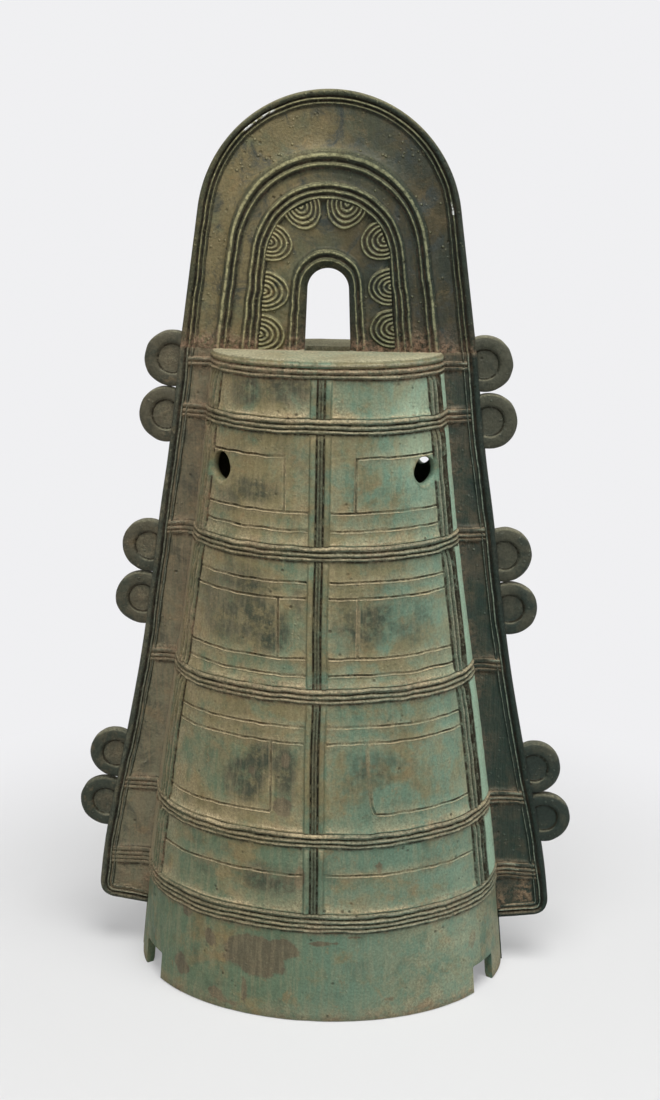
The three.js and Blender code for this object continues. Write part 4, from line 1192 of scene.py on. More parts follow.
def ornament():
    # one half round, its flat side on x = 0 and its round side towards +X
    edge, step = halfRound["radius"], halfRound["step"]
    radius = np.concatenate([[0], np.arange(step, edge - 0.1, step), [edge]])
    away = np.min(np.abs(radius[:, None] - np.array([halfRound["arcs"]])), axis=1)
    form = np.clip(1 - (away / halfRound["arcHalfWidth"]) ** 2, 0, 1) ** 0.8
    rise = 0.15 + halfRound["rise"] * form + halfRound["swell"] * np.cos(radius / edge * math.pi / 2)
    rise[-1] = -0.4
    form[-1] = 0
    below = np.array([edge, 9.0, 4.0, 0])
    section = np.concatenate([np.stack([radius, rise], 1), np.stack([below, 0 * below - 0.9], 1)])
    section = np.concatenate([section, section[:1]])
    turn = np.linspace(-math.pi / 2, math.pi / 2, 45)
    places = np.stack([halfRound["across"] * section[None, :, 0] * np.cos(turn)[:, None],
                       halfRound["along"] * section[None, :, 0] * np.sin(turn)[:, None],
                       section[None, :, 1] + 0 * turn[:, None]], -1)
    piece = addGrid("half_round", places)
    marks = np.concatenate([form, 0 * below, form[:1]])
    grooves = np.concatenate([np.clip(1 - 1.7 * form, 0, 1), 0 * below, [0]])
    grooves[len(radius) - 1] = 0.3
    paint(piece, "crest", np.repeat(marks[None], len(turn), 0))
    paint(piece, "groove", np.repeat(grooves[None], len(turn), 0))
    editAll(piece, mergeDoubles, dropLoose, closeHoles, faceOutwards)
    return piece


# where the half rounds sit inside the triple ridge: the angle round the crown, or the height on a
# leg, and then 1 for the right leg or -1 for the left
ornamentPlaces = [
    (116, None, 1), (72, None, 1), (161, None, 1), (23, None, 1), (None, 475, -1), (None, 479, 1),
    (None, 447.5, -1), (None, 452.5, 1),
]


def ornaments(side, seed):
    model = ornament()
    crownShare, footShare = halfRound["crownShare"], halfRound["footShare"]
    crown = handle["top"] + (handle["openingTop"] - handle["top"]) * crownShare
    radius = handle["crownRadius"] + (handle["openingRadius"] - handle["crownRadius"]) * footShare
    footWidth = handle["footHalfWidth"] + (handle["openingFoot"] - handle["footHalfWidth"]) * footShare
    copies = []
    for i, (angle, height, hand) in enumerate(ornamentPlaces):
        if height is None:
            turn = math.radians(angle)
            spot = (radius * math.cos(turn), crown - radius + radius * math.sin(turn))
            inward = (-math.cos(turn), -math.sin(turn))
        else:
            lean = (crown - radius - height) / (crown - radius - handle["foot"])
            spot = (hand * (radius + (footWidth - radius) * lean), height)
            inward = (-hand, -0.1)
        copy = model.copy()
        copy.data = model.data.copy()
        bpy.context.collection.objects.link(copy)
        places = points(copy)
        size = 1 + 0.05 * math.sin(seed + 2.3 * i)
        places[:, :2] *= size
        places[:, 0] += 0.35 * softNoise(places + 40 * i, 6.0, seed) - 0.4
        places[:, 1] += 0.35 * softNoise(places + 40 * i, 6.0, seed + 1)
        places[:, 2] += 0.12 * softNoise(places + 40 * i, 3.0, seed + 2)
        length = math.hypot(*inward)
        ux, uz = inward[0] / length, inward[1] / length
        # local X runs inwards, local Z stands out of the face
        x = spot[0] + places[:, 0] * ux - places[:, 1] * uz
        z = spot[1] + places[:, 0] * uz + places[:, 1] * ux
        y = side * (handle["floor"] + places[:, 2])
        placePoints(copy, np.stack([x, y, z], 1))
        lowest = handle["foot"] + 0.3
        if z.min() < lowest:
            editAll(copy, lambda: cutAway((0, 0, lowest), (0, 0, 1)))
        editAll(copy, faceOutwards)
        copies.append(copy)
    bpy.data.objects.remove(model)
    return joinPieces(*copies)


def buildHandle(seed):
    section = handleSection()
    stations = archStations()
    count = len(section)
    sides = []
    for side, extra in ((-1, 0), (1, 9)):
        shape = (len(stations), count)
        along = np.repeat(stations[:, None] * handle["stationLength"], count, 1)
        across = np.repeat(section[None, :, 0] * handle["crownDepth"], len(stations), 0)
        spots = np.stack([along, across, 0 * along], -1).reshape(-1, 3)
        loose = np.clip(section[:, 0] / 0.04, 0, 1) * np.clip((1 - section[:, 0]) / 0.04, 0, 1)
        waver = handle["waver"] * softNoise(spots * (1, 0.35, 1), 22.0, seed + extra).reshape(shape)
        waver = (waver + 0.2 * softNoise(spots, 6.0, seed + extra + 1).reshape(shape)) * loose[None, :]
        crownShare = section[None, :, 0] + waver / handle["crownDepth"]
        footShare = section[None, :, 1] + waver / handle["footDepth"]
        x, z = archPoints(crownShare, footShare, np.repeat(stations[:, None], count, 1))
        lumps = softNoise(spots * (1, 0.7, 1), 9.0, seed + extra + 2).reshape(shape)
        fine = softNoise(spots, 3.2, seed + extra + 3).reshape(shape)
        crest = np.repeat(section[None, :, 3], len(stations), 0)
        groove = np.repeat(section[None, :, 4], len(stations), 0)
        half = section[None, :, 2] + handle["roughness"] * (0.8 * lumps + 0.5 * fine)
        half = half - 0.3 * crest * smoothStep(lumps * 0.5 + fine * 0.7, 0.4, 0.8)
        lip = 1.25 * np.exp(-(z - handle["soilFoot"]) / handle["soilFade"])
        soil = np.clip(lip * (1.0 + 0.6 * lumps) * (1 - 0.5 * smoothStep(x, 60, 90)), 0, 1)
        crumbs = np.exp(-(z - handle["soilFoot"]) / handle["crumbFade"])
        half = half + 1.3 * crumbs * np.clip(0.5 * lumps + 0.7 * fine, 0, 1)
        share = section[:, 0]
        chipped = np.zeros(shape, bool)
        for height, reach, left, right in handle["chips"]:
            chipped |= (np.abs(z - height) < reach) & (x > left) & (x < right)
        chip = (np.abs(share - handle["chipShare"]) < 0.004)[None, :] * np.where(chipped, 1.0, 0.0)
        plain = np.zeros(count, bool)
        for low, high in handle["plain"]:
            plain |= (share > low) & (share < high)
        relief = np.repeat((~plain * 1.0)[None, :], len(stations), 0)
        sides.append((np.stack([x, side * half, z], -1),
                      {"crest": crest, "groove": groove, "soil": soil,
                       "chip": chip * (side < 0), "relief": relief}))
    piece = addSheet("handle_cast", sides)
    for side in (-1, 1):
        cut(piece, ornaments(side, seed + 20 * side), "UNION")
    finishPiece(piece, "handle", "bell", handleBronze)
    print("handle built with", len(piece.data.polygons), "faces")


buildHandle(7)


# The fins: a ridged rim round a thin web that carries the ends of the bands

fin = {
    "footHalfWidth": 97.0, "bottomHalfWidth": 163.0, "corner": 38.0, "inner": 33.0,
    "cornerRadius": 13.0, "rimWidth": 10.5, "web": 3.4, "ridge": 1.5, "fillet": 2.4, "top": 437.8,
    "webFoot": 41.0,
    # heights up the web where the mesh needs a row of its own, and those between which the ends of
    # the bands wander up and down
    "rows": (15, 30, 40.6, 45, 50, 55), "driftSpan": (60, 425),
    # across the web from the wall to the rim
    "shares": (0.0, 0.04, 0.08, 0.13, 0.19, 0.26, 0.34, 0.43, 0.52, 0.61, 0.7, 0.79, 0.87, 0.94, 1.0),
}
finEdgeShares = [
    (0, 0), (0.16, 0.12), (0.28, 0.235), (0.5, 0.43), (0.66, 0.615), (0.87, 0.89), (1, 1),
]
# across the rim, from its edge inwards: share, half thickness, crest and groove
rimForm = list(handleStretches[0][2]) + [(1.0, 3.2, 0, 0.6)]


def finEdgeLine():
    # a smooth line through the knots
    reach, drop = fin["bottomHalfWidth"] - fin["footHalfWidth"], fin["corner"] - body["height"]
    knots = np.array([(fin["footHalfWidth"] + reach * out, body["height"] + drop * down)
                      for down, out in finEdgeShares])
    line = []
    for i in range(len(knots) - 1):
        p0, p1, p2, p3 = knots[max(i - 1, 0)], knots[i], knots[i + 1], knots[min(i + 2, len(knots) - 1)]
        for t in np.linspace(0, 1, 24, endpoint=False):
            v0, v1 = (p2 - p0) / 2, (p3 - p1) / 2
            line.append((2 * p1 - 2 * p2 + v0 + v1) * t ** 3
                        + (3 * p2 - 3 * p1 - 2 * v0 - v1) * t ** 2 + v0 * t + p1)
    line.append(knots[-1])
    return np.array(line)


finEdge = finEdgeLine()


def finHalfWidth(z):
    return np.interp(z, finEdge[::-1, 1], finEdge[::-1, 0])


def finOutline():
    corner = np.array([finHalfWidth(fin["corner"]), fin["corner"]])
    inner = np.array([halfWidth(fin["inner"]), fin["inner"]])
    high = fin["corner"] + fin["cornerRadius"]
    above = np.array([finHalfWidth(high), high])
    heights = np.linspace(fin["top"], high, 132)
    line = [np.array([finHalfWidth(z), z]) for z in heights]
    inwards = (inner - corner) / np.linalg.norm(inner - corner)
    end = corner + inwards * fin["cornerRadius"]
    for t in np.linspace(0, 1, 12)[1:]:
        line.append(above * (1 - t) ** 2 + corner * 2 * t * (1 - t) + end * t * t)
    for t in np.linspace(0, 1, 9)[1:]:
        line.append(end + (inner - end) * t)
    return np.array(line)


def finRim(seed):
    line = finOutline()
    along = np.gradient(line, axis=0)
    along /= np.linalg.norm(along, axis=1)[:, None]
    inward = np.stack([along[:, 1], -along[:, 0]], 1)
    reach = np.full(len(line), fin["rimWidth"])
    inward[0], reach[0] = (-1, 0), fin["rimWidth"] / abs(along[0, 1])
    inward[-1], reach[-1] = (0, 1), fin["rimWidth"] / abs(along[-1, 0])
    form = np.array(rimForm, float)
    travelled = np.concatenate([[0], np.cumsum(np.linalg.norm(np.diff(line, axis=0), axis=1))])
    sides = []
    for side, extra in ((-1, 0), (1, 5)):
        shape = (len(line), len(form))
        spots = np.stack([np.repeat(travelled[:, None], len(form), 1),
                          np.repeat(form[None, :, 0] * fin["rimWidth"], len(line), 0),
                          np.zeros(shape)], -1).reshape(-1, 3)
        loose = (np.clip(form[:, 0] / 0.2, 0, 1) * np.clip((1 - form[:, 0]) / 0.2, 0, 1))[None, :]
        waver = 0.5 * softNoise(spots * (1, 0.3, 1), 20.0, seed + extra).reshape(shape)
        waver = waver + 0.2 * softNoise(spots, 5.0, seed + extra + 1).reshape(shape)
        share = form[None, :, 0] + waver * loose / fin["rimWidth"]
        lumps = softNoise(spots, 8.0, seed + extra + 2).reshape(shape)
        fine = softNoise(spots, 3.0, seed + extra + 3).reshape(shape)
        crest = np.repeat(form[None, :, 2], len(line), 0)
        groove = np.repeat(form[None, :, 3], len(line), 0)
        half = form[None, :, 1] + 0.2 * lumps + 0.12 * fine
        half = half - 0.5 * crest * smoothStep(lumps * 0.5 + fine * 0.7, 0.4, 0.8)
        x = line[:, None, 0] + inward[:, None, 0] * reach[:, None] * share
        z = line[:, None, 1] + inward[:, None, 1] * reach[:, None] * share
        near = np.min([np.abs(z - middle) for middle, _ in bandTable], axis=0)
        soil = 0.6 * np.exp(-near / 5.0) * (form[None, :, 0] > 0.35) * (0.5 + 0.5 * lumps)
        sides.append((np.stack([x, side * half, z], -1),
                      {"crest": crest, "groove": groove, "soil": np.clip(soil, 0, 1),
                       "relief": 1 + 0 * x}))
    return addSheet("fin_rim", sides)


def finWeb(seed, stubSoil):
    heights = {0.0: (0, 0)}
    for middle, widths in bandTable:
        for z, rise, _, groove in bandRows(middle, widths):
            heights[z] = (rise, groove)
    joins = (fin["webFoot"], body["wallTop"] - 0.3, body["wallTop"] - 0.1, fin["top"])
    for z in fin["rows"] + joins:
        heights.setdefault(float(z), (0, 0))
    marks = sorted(heights)
    for low, high in zip(marks[:-1], marks[1:]):
        for z in np.linspace(low, high, max(1, math.ceil((high - low) / 3.5)), endpoint=False)[1:]:
            heights[float(z)] = (0, 0)
    z = np.array(sorted(heights))
    rise = np.array([heights[value][0] for value in z])
    dirt = np.array([heights[value][1] for value in z])
    inStub = 0 * z
    for middle, widths in bandTable:
        halfBand = sum(widths) / 2
        inStub = np.maximum(inStub, smoothStep(np.abs(z - middle), halfBand + 4, halfBand))
    face = halfWidth(z)
    inner = np.where(z < body["wallTop"] - 0.2, face - body["wall"], body["topHalfWidth"] + 1.0)
    start = np.maximum(face, inner)
    outer = np.where(z < fin["webFoot"] - 0.2, face + 0.6, finHalfWidth(z) - fin["rimWidth"] * 0.55)
    shares = np.array(fin["shares"])[None, :]
    x = np.concatenate([inner[:, None], start[:, None] + (outer - start)[:, None] * shares], axis=1)
    away = np.maximum(x - face[:, None], 0)
    size = x.shape
    driftLow, driftHigh = fin["driftSpan"]
    drifting = ((z > driftLow) & (z < driftHigh))[:, None]
    sides = []
    for side, extra in ((-1, 0), (1, 6)):
        spots = np.stack([x, 0 * x, np.repeat(z[:, None], size[1], 1)], -1).reshape(-1, 3)
        lumps = softNoise(spots, 9.0, seed + extra).reshape(size)
        fine = softNoise(spots * (1, 1, 0.45), 2.6, seed + extra + 1).reshape(size)
        drift = 0.7 * softNoise(spots * (1, 1, 0.2), 12.0, seed + extra + 2).reshape(size)
        onWeb = (np.arange(size[1]) > 0)[None, :] & (z > fin["webFoot"] - 0.2)[:, None]
        form = rise[:, None] * (0.8 + 0.3 * lumps) * onWeb
        fillet = fin["fillet"] * np.exp(-away / 3.2) * onWeb
        half = fin["web"] + np.where(onWeb, fin["ridge"] * form + 0.2 * lumps + 0.16 * fine, 0) + fillet
        height = z[:, None] + np.where(onWeb & drifting, drift, 0)
        groove = dirt[:, None] * 0.8 * onWeb
        soil = 0.55 * np.exp(-away / 5.0) + stubSoil * inStub[:, None]
        soil = np.clip(soil * (0.5 + 0.6 * lumps), 0, 1) * onWeb
        soil = np.clip(soil + onWeb * smoothStep(z, 70, 56)[:, None] * (0.5 + 0.7 * lumps), 0, 1)
        sides.append((np.stack([x, side * half, height], -1),
                      {"crest": form, "groove": groove, "soil": soil}))
    return addSheet("fin_web", sides)


def buildFin(name, node, turn, seed, stubSoil):
    piece = finWeb(seed, stubSoil)
    cut(piece, finRim(seed + 30), "UNION")
    piece.name = name
    piece.data.name = name
    piece.data.transform(Matrix.Rotation(turn, 4, "Z"))
    finishPiece(piece, node, "bell", finBronze)
    print(name, "built with", len(piece.data.polygons), "faces")


buildFin("fin_right_cast", "fin_right", 0.0, 61, 0.4)
buildFin("fin_left_cast", "fin_left", math.pi, 83, 0.75)


# The ears: round flat discs with a sunk middle, cut off along the fin's edge

ear = {
    "radius": 18.4, "edgeHalf": 2.2, "reach": 4.4, "pitch": 37.3, "pairs": (411.5, 283.5, 130.5),
    "sink": 1.2,
    # insets from the edge to the middle: width and rise
    "steps": ((0.7, 0.9), (1.0, 0.6), (1.7, 0.25), (2.0, 0.05), (1.5, -0.05), (0.6, -0.2), (0.5, -0.5),
              (0.5, -0.6), (0.6, -0.45), (0.7, -0.15), (2.0, -0.05), (2.2, 0.1), (2.0, 0.0)),
    # distance from the middle to the groove round the hollow and to the crest outside it
    "grooveRadius": 9.5, "crestRadius": 11.2, "hollowRadius": 9.2,
    # how far above and below an ear the slope of the fin's edge is read
    "slopeReach": 15.0,
}


def earModel():
    deselectAll()
    bpy.ops.mesh.primitive_cylinder_add(
        vertices=72, radius=ear["radius"] * mm, depth=2 * ear["edgeHalf"] * mm,
        rotation=(math.pi / 2, 0, 0))
    piece = bpy.context.object
    bpy.ops.object.transform_apply(location=False, rotation=True, scale=False)
    selectFaces(piece, lambda face: abs(face.normal.y) > 0.9)
    for width, rise in ear["steps"]:
        bpy.ops.mesh.inset(thickness=width * mm, depth=rise * mm)
    bpy.ops.object.mode_set(mode="OBJECT")
    return piece


def buildEars():
    model = earModel()
    heights = [middle + hand * ear["pitch"] / 2 for middle in ear["pairs"] for hand in (1, -1)]
    for i, height in enumerate(heights):
        for side, sideName in ((1, "right"), (-1, "left")):
            copy = model.copy()
            copy.data = model.data.copy()
            name = f"ear_{sideName}_{i + 1}"
            copy.name = name + "_cast"
            copy.data.name = copy.name
            bpy.context.collection.objects.link(copy)
            seed = 200 + 20 * i + side
            places = points(copy)
            radius = np.hypot(places[:, 0], places[:, 2])
            shift = places + 60 * i + 300 * side
            places[:, 0] *= 1 + 0.012 * math.sin(seed)
            places[:, 2] *= 1 + 0.012 * math.cos(1.7 * seed)
            grow = 1 + 0.024 * softNoise(shift * (1, 0.2, 1), 14.0, seed)
            grow = grow + 0.015 * softNoise(shift, 5.0, seed + 3)
            places[:, 0] *= grow
            places[:, 2] *= grow
            thick = 1 + 0.08 * softNoise(shift, 7.0, seed + 1) + 0.045 * softNoise(shift, 2.6, seed + 2)
            places[:, 1] *= thick
            # the groove ring on the hollow's wall is dirt and painted shade
            paint(copy, "groove", np.clip(1 - np.abs(radius - ear["grooveRadius"]) / 1.2, 0, 1))
            paint(copy, "crest", np.clip(1 - np.abs(radius - ear["crestRadius"]) / 0.9, 0, 1) * 0.9)
            paint(copy, "soil", (0.2 if side < 0 else 0.0) * np.clip(1.3 - radius / 8, 0, 1))
            inHollow = np.clip(ear["hollowRadius"] - radius, 0, 1)
            paint(copy, "border", inHollow * (0.8 if side < 0 else 0.0))
            centre = finHalfWidth(height) + ear["reach"]
            places[:, 0] += centre
            places[:, 2] += height
            placePoints(copy, places)
            reach = ear["slopeReach"]
            lean = finHalfWidth(height + reach) - finHalfWidth(height - reach)
            normal = Vector((2 * reach, 0, -lean)).normalized()
            spot = (finHalfWidth(height) - ear["sink"], 0, height)
            editAll(copy, lambda: cutAway(spot, normal), faceOutwards)
            if side < 0:
                copy.data.transform(Matrix.Rotation(math.pi, 4, "Z"))
            finishPiece(copy, name, "bell", earBronze)
    bpy.data.objects.remove(model)
    print("twelve ears built")


buildEars()


# The plate that closes the body, slotted under the handle's opening

plate = {
    "bottom": 432.35, "top": 438.0, "slotHalfWidth": 15.0, "slotFront": 9.0, "slotBack": 15.0,
    "slotMiddle": 435.2, "slotDepth": 20.0, "slotBevel": 1.4, "sides": 161,
    # earth beside the handle's foot: its distance from the bell's middle, and how far it fades
    "soilFrom": 8.5, "soilFade": 2.5,
    # rings of the under face and of the top face, as shares of the plate's outline
    "underShares": (0.12, 0.5, 0.9),
    "topShares": (0.975, 0.95, 0.9, 0.84, 0.78, 0.71, 0.64, 0.57, 0.5, 0.43, 0.36, 0.29, 0.22, 0.15,
                  0.09, 0.04),
    # up the edge: height, how far it stands out, crest and groove
    "edge": ((432.35, -1.0, 0, 1), (432.6, 0.6, 0, 0.8), (433.2, 1.5, 0.5, 0.2), (434.2, 2.0, 1, 0),
             (435.3, 1.9, 0.9, 0), (436.3, 1.6, 0.6, 0), (437.2, 1.1, 0.6, 0), (437.8, 0.2, 0.4, 0)),
}


def buildPlate(seed):
    angle = np.linspace(0, 2 * np.pi, plate["sides"])
    rings = []
    marks = []

    def addRing(share, z, out, crest, groove):
        ring = ovalPoints(np.full(len(angle), z), angle, np.full(len(angle), out))
        ring[:, :2] *= share
        rings.append(ring)
        marks.append((crest, groove))

    for share in plate["underShares"]:
        addRing(share, plate["bottom"], 0.0, 0, 0)
    for z, out, crest, groove in plate["edge"]:
        addRing(1.0, z, out, crest, groove)
    for share in plate["topShares"]:
        addRing(share, plate["top"] - 0.25 * (share < 0.94), 0.0, 0, 0)
    places = np.array(rings)
    size = places.shape[:2]
    lumps = softNoise(places.reshape(-1, 3), 12.0, seed).reshape(size)
    fine = softNoise(places.reshape(-1, 3), 4.0, seed + 1).reshape(size)
    grow = 1 + 0.006 * lumps + 0.004 * fine
    places[..., 0] *= grow
    places[..., 1] *= grow
    places[..., 2] += np.where(places[..., 2] > plate["top"] - 1, 0.14 * lumps + 0.08 * fine, 0)
    places[:, -1] = places[:, 0]
    marks = np.array(marks)
    piece = addGrid("top_plate_cast", places)
    paint(piece, "crest", np.repeat(marks[:, :1], size[1], 1))
    paint(piece, "groove", np.repeat(marks[:, 1:], size[1], 1))
    onTop = places[..., 2] > plate["top"] - 1
    beside = np.maximum(np.abs(places[..., 1]) - plate["soilFrom"], 0)
    near = np.exp(-beside / plate["soilFade"]) * onTop
    paint(piece, "soil", np.clip(near * (0.8 + 0.7 * lumps), 0, 1))
    edge = np.hypot(places[..., 0] / body["topHalfWidth"], places[..., 1] / body["topHalfDepth"])
    paint(piece, "border", smoothStep(edge, 0.5, 1.0) * onTop)
    editAll(piece, mergeDoubles, closeHoles, faceOutwards)
    deselectAll()
    bpy.ops.mesh.primitive_cube_add(size=1, location=(
        0, (plate["slotBack"] - plate["slotFront"]) / 2 * mm, plate["slotMiddle"] * mm))
    cutter = bpy.context.object
    cutter.scale = (2 * plate["slotHalfWidth"] * mm, (plate["slotFront"] + plate["slotBack"]) * mm,
                    plate["slotDepth"] * mm)
    bpy.ops.object.transform_apply(location=True, rotation=False, scale=True)
    editAll(cutter, lambda: bevelSharp(plate["slotBevel"]))
    cut(piece, cutter)
    finishPiece(piece, "top_plate", "bell", plateBronze)
    print("top plate built with", len(piece.data.polygons), "faces")


buildPlate(131)


# The tongue and what it hangs on, inside the body

clapper = {
    "bar": 406.5, "rod": 8.0, "stapleHalfWidth": 24.5, "stapleTop": 432.1, "bend": 9.0,
    "padRadius": 8.0, "padThickness": 3.0, "linkRod": 6.0, "linkLength": 50.0, "clearance": 0.3,
    "eyeRadius": 11.0, "eyeThickness": 6.0, "tip": 30.0, "neck": 7.0, "tipRadius": 14.0,
}


def tube(name, path, radius, sides, loop):
    # a round rod along a line of places that stays in one upright plane
    path = np.array(path, float)
    along = np.gradient(path, axis=0)
    if loop:
        along = np.roll(path, -1, 0) - np.roll(path, 1, 0)
    along /= np.linalg.norm(along, axis=1)[:, None]
    flat = np.array([0, 1.0, 0]) if np.ptp(path[:, 1]) < 1e-6 else np.array([1.0, 0, 0])
    across = np.cross(along, flat)
    turn = np.linspace(0, 2 * np.pi, sides + 1)
    rings = path[:, None] + radius * (np.cos(turn)[None, :, None] * across[:, None]
                                      + np.sin(turn)[None, :, None] * flat[None, None])
    if loop:
        rings = np.concatenate([rings, rings[:1]])
    rings[:, -1] = rings[:, 0]
    piece = addGrid(name, rings)
    steps = [mergeDoubles, faceOutwards] if loop else [mergeDoubles, closeHoles, faceOutwards]
    editAll(piece, *steps)
    return piece


def roughen(piece, amount, seed):
    # only ever inwards, so that moving pieces keep their clearance
    places = points(piece)
    rough = 0.5 + 0.35 * softNoise(places, 9.0, seed) + 0.15 * softNoise(places, 3.0, seed + 1)
    placePoints(piece, places - amount * np.clip(rough, 0, 1)[:, None] * normals(piece))
    paint(piece, "crest", np.clip(0.9 - rough, 0, 1))
    paint(piece, "groove", np.clip(rough * 1.6 - 1.1, 0, 1))


def buildStaple():
    x, bar, bend = clapper["stapleHalfWidth"], clapper["bar"], clapper["bend"]
    right = [(x, 0, clapper["stapleTop"] - 1)]
    for a in np.linspace(0, math.pi / 2, 14):
        right.append((x - bend + bend * math.cos(a), 0, bar + bend - bend * math.sin(a)))
    left = [(-px, py, pz) for px, py, pz in right[::-1]]
    middle = [(t, 0, bar) for t in np.linspace(x - bend, bend - x, 14)[1:-1]]
    piece = tube("staple_bar", right + middle + left, clapper["rod"] / 2, 28, False)
    for side in (1, -1):
        deselectAll()
        bpy.ops.mesh.primitive_cylinder_add(
            vertices=48, radius=clapper["padRadius"] * mm, depth=clapper["padThickness"] * mm,
            location=(side * x * mm, 0, (clapper["stapleTop"] - clapper["padThickness"] / 2) * mm))
        pad = bpy.context.object
        bpy.ops.object.transform_apply(location=True, rotation=False, scale=False)
        editAll(pad, lambda: bevelSharp(0.6))
        cut(piece, pad, "UNION")
    roughen(piece, 0.12, 301)
    finishPiece(piece, "clapper_staple", "bell", clapperBronze)


def buildLink():
    bow = clapper["rod"] / 2 + clapper["clearance"] + clapper["linkRod"] / 2
    bar, low = clapper["bar"], clapper["bar"] - clapper["linkLength"]
    path = [(0, bow * math.cos(a), bar + bow * math.sin(a)) for a in np.linspace(0, math.pi, 25)]
    path += [(0, -bow, z) for z in np.linspace(bar, low, 18)[1:-1]]
    path += [(0, bow * math.cos(a), low + bow * math.sin(a))
             for a in np.linspace(math.pi, 2 * math.pi, 25)]
    path += [(0, bow, z) for z in np.linspace(low, bar, 18)[1:-1]]
    piece = tube("clapper_link_cast", path, clapper["linkRod"] / 2, 24, True)
    roughen(piece, 0.1, 311)
    finishPiece(piece, "clapper_link", "link", clapperBronze)


def buildTongue():
    bow = clapper["rod"] / 2 + clapper["clearance"] + clapper["linkRod"] / 2
    bottom = clapper["bar"] - clapper["linkLength"] - bow
    inside = bow - clapper["linkRod"] / 2
    rise = bow - math.sqrt(inside ** 2 - (clapper["eyeThickness"] / 2) ** 2)
    hole = rise + clapper["clearance"] + 0.08
    length = bottom - clapper["eyeRadius"] - clapper["tip"]
    neckTop = bottom - (hole + clapper["eyeRadius"]) / 2
    swell = clapper["tipRadius"] - clapper["neck"]
    ups = np.array([0.0, 0.006, 0.018, 0.04, 0.1, 0.2, 0.38, 0.6, 0.85, 1.0])
    outs = np.array([0.55, 0.8, 0.93, 0.99, 1.0, 0.9, 0.45, 0.15, 0.0, 0.0])
    z = np.concatenate([clapper["tip"] + length * ups[:4], np.linspace(
        clapper["tip"] + length * 0.07, clapper["tip"] + length, 44), [neckTop]])
    share = np.interp((z - clapper["tip"]) / length, ups, outs)
    radius = clapper["neck"] + swell * share
    radius[:4] = clapper["tipRadius"] * outs[:4]
    turn = np.linspace(0, 2 * np.pi, 49)
    rings = np.stack([radius[:, None] * np.cos(turn), radius[:, None] * np.sin(turn),
                      np.repeat(z[:, None], len(turn), 1)], -1)
    rings[:, -1] = rings[:, 0]
    piece = addGrid("clapper_tongue_cast", rings)
    editAll(piece, mergeDoubles, closeHoles, faceOutwards)

    def crossPin(size, depth):
        deselectAll()
        bpy.ops.mesh.primitive_cylinder_add(vertices=64, radius=size * mm, depth=depth * mm,
                                            location=(0, 0, bottom * mm), rotation=(math.pi / 2, 0, 0))
        pin = bpy.context.object
        bpy.ops.object.transform_apply(location=True, rotation=True, scale=False)
        return pin

    eye = crossPin(clapper["eyeRadius"], clapper["eyeThickness"])
    editAll(eye, lambda: bevelSharp(0.9))
    cut(piece, eye, "UNION")
    cut(piece, crossPin(hole, 30.0))
    roughen(piece, 0.1, 321)
    finishPiece(piece, "clapper_tongue", "tongue", clapperBronze)


buildStaple()
buildLink()
buildTongue()
print("tongue and its link built")


# Studio: pale sweep, soft lights and the camera at the photograph's angle

# places and lengths in the studio are in metres, the lens is in millimetres and angles in degrees
studio = {
    "floorColour": (0.6, 0.6, 0.595, 1), "backdrop": (0.87, 0.87, 0.885, 1), "sweepRadius": 3.0,
    "wallHeight": 2.0, "world": 0.34, "lens": 47.88, "cameraPlace": (0.0652, -0.9538, 0.563),
    "yaw": 3.73, "pitch": 15.28, "roll": 0.62,
    # how much the floor shows the camera of the backdrop's own colour: the share near the bell and
    # the share far away, and the distances from the bell's middle between which it grows
    "glowShare": (0.34, 1.0), "glowReach": (0.2, 0.5),
}
lamps = {
    "topLamp": {"place": (0.25, -0.55, 2.2), "aim": (0, 0, 0.3), "size": 1.3, "power": 52.0},
    "keyLamp": {"place": (-0.8, -1.8, 1.6), "aim": (0, 0, 0.3), "size": 1.4, "power": 16.0},
    "sideLamp": {"place": (1.6, -1.0, 0.9), "aim": (0, 0, 0.25), "size": 1.2, "power": 7.0},
}


def paleMaterial(name):
    # partly lit near the bell, so that its shadow shows, and all the backdrop's colour further away
    material = bpy.data.materials.new(name)
    material.use_nodes = True
    tree = material.node_tree
    shader = tree.nodes["Principled BSDF"]
    shader.inputs["Base Color"].default_value = studio["floorColour"]
    shader.inputs["Roughness"].default_value = 0.85
    glow = tree.nodes.new("ShaderNodeEmission")
    glow.inputs["Color"].default_value = studio["backdrop"]
    vector = tree.nodes.new("ShaderNodeTexCoord").outputs["Object"]
    length = tree.nodes.new("ShaderNodeVectorMath")
    length.operation = "LENGTH"
    feed(tree, length.inputs[0], vector)
    share = spread(tree, length.outputs["Value"], *studio["glowReach"], *studio["glowShare"])
    seen = larger(tree, tree.nodes.new("ShaderNodeLightPath").outputs["Is Camera Ray"],
                  tree.nodes.new("ShaderNodeLightPath").outputs["Is Glossy Ray"])
    mixer = tree.nodes.new("ShaderNodeMixShader")
    feed(tree, mixer.inputs[0], times(tree, share, seen))
    feed(tree, mixer.inputs[1], shader.outputs[0])
    feed(tree, mixer.inputs[2], glow.outputs[0])
    feed(tree, tree.nodes["Material Output"].inputs["Surface"], mixer.outputs[0])
    return material


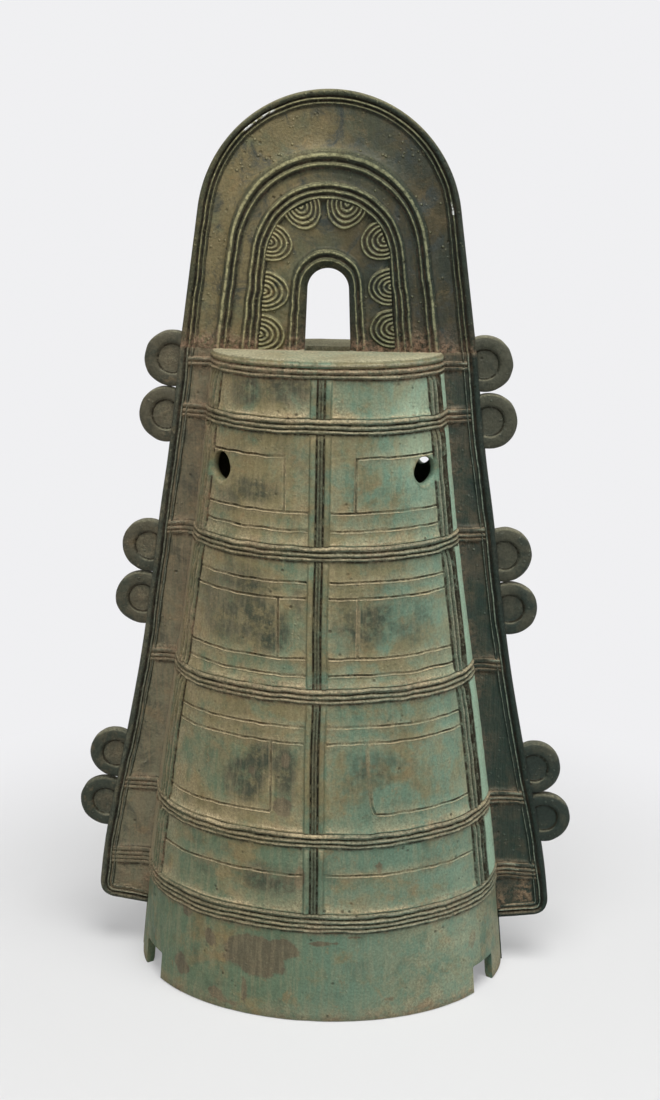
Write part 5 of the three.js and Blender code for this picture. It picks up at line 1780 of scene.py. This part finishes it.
def paleSweep():
    # a round floor whose rim curves up into a low wall
    deselectAll()
    bpy.ops.mesh.primitive_circle_add(vertices=96, radius=studio["sweepRadius"], fill_type="NGON")
    floor = bpy.context.object
    floor.name = "floor"
    bpy.ops.object.mode_set(mode="EDIT")
    bpy.ops.mesh.select_mode(type="EDGE")
    bpy.ops.mesh.select_all(action="DESELECT")
    bpy.ops.mesh.select_non_manifold()
    for i in range(1, 9):
        turn = math.radians(i * 90 / 8)
        before = math.radians((i - 1) * 90 / 8)
        grow = (studio["sweepRadius"] + math.sin(turn)) / (studio["sweepRadius"] + math.sin(before))
        lift = math.cos(before) - math.cos(turn)
        bpy.ops.mesh.extrude_region_move(TRANSFORM_OT_translate={"value": (0, 0, lift)})
        bpy.ops.transform.resize(value=(grow, grow, 1))
    bpy.ops.mesh.extrude_region_move(TRANSFORM_OT_translate={"value": (0, 0, studio["wallHeight"])})
    bpy.ops.object.mode_set(mode="OBJECT")
    bpy.ops.object.shade_smooth()
    floor.data.materials.append(paleMaterial("paleFloor"))


def addLamp(name, values):
    bpy.ops.object.light_add(type="AREA", location=values["place"])
    lamp = bpy.context.object
    lamp.name = name
    lamp.data.shape = "DISK"
    lamp.data.size = values["size"]
    lamp.data.energy = values["power"]
    aim = Vector(values["aim"]) - Vector(values["place"])
    lamp.rotation_euler = aim.to_track_quat("-Z", "Y").to_euler()


def addWorld():
    world = bpy.data.worlds.new("studio")
    bpy.context.scene.world = world
    world.use_nodes = True
    tree = world.node_tree
    lit = tree.nodes["Background"]
    lit.inputs["Color"].default_value = (1, 1, 1, 1)
    lit.inputs["Strength"].default_value = studio["world"]
    seen = tree.nodes.new("ShaderNodeBackground")
    seen.inputs["Color"].default_value = studio["backdrop"]
    mixer = tree.nodes.new("ShaderNodeMixShader")
    feed(tree, mixer.inputs[0], tree.nodes.new("ShaderNodeLightPath").outputs["Is Camera Ray"])
    feed(tree, mixer.inputs[1], lit.outputs[0])
    feed(tree, mixer.inputs[2], seen.outputs[0])
    feed(tree, tree.nodes["World Output"].inputs["Surface"], mixer.outputs[0])


def addCamera():
    bpy.ops.object.camera_add(location=studio["cameraPlace"])
    camera = bpy.context.object
    camera.name = "camera"
    camera.data.lens = studio["lens"]
    yaw, pitch, roll = (math.radians(studio[key]) for key in ("yaw", "pitch", "roll"))
    forward = Vector((-math.sin(yaw) * math.cos(pitch), math.cos(yaw) * math.cos(pitch),
                      -math.sin(pitch)))
    right = Vector((math.cos(yaw), math.sin(yaw), 0))
    up = right.cross(forward)
    tiltedRight = right * math.cos(roll) + up * math.sin(roll)
    tiltedUp = up * math.cos(roll) - right * math.sin(roll)
    turn = Matrix((tiltedRight, tiltedUp, -forward)).transposed()
    camera.rotation_euler = turn.to_euler()
    bpy.context.scene.camera = camera


paleSweep()
for lampName, lampValues in lamps.items():
    addLamp(lampName, lampValues)
addWorld()
addCamera()
bpy.context.scene.view_settings.view_transform = "Standard"
deselectAll()
print("studio set")
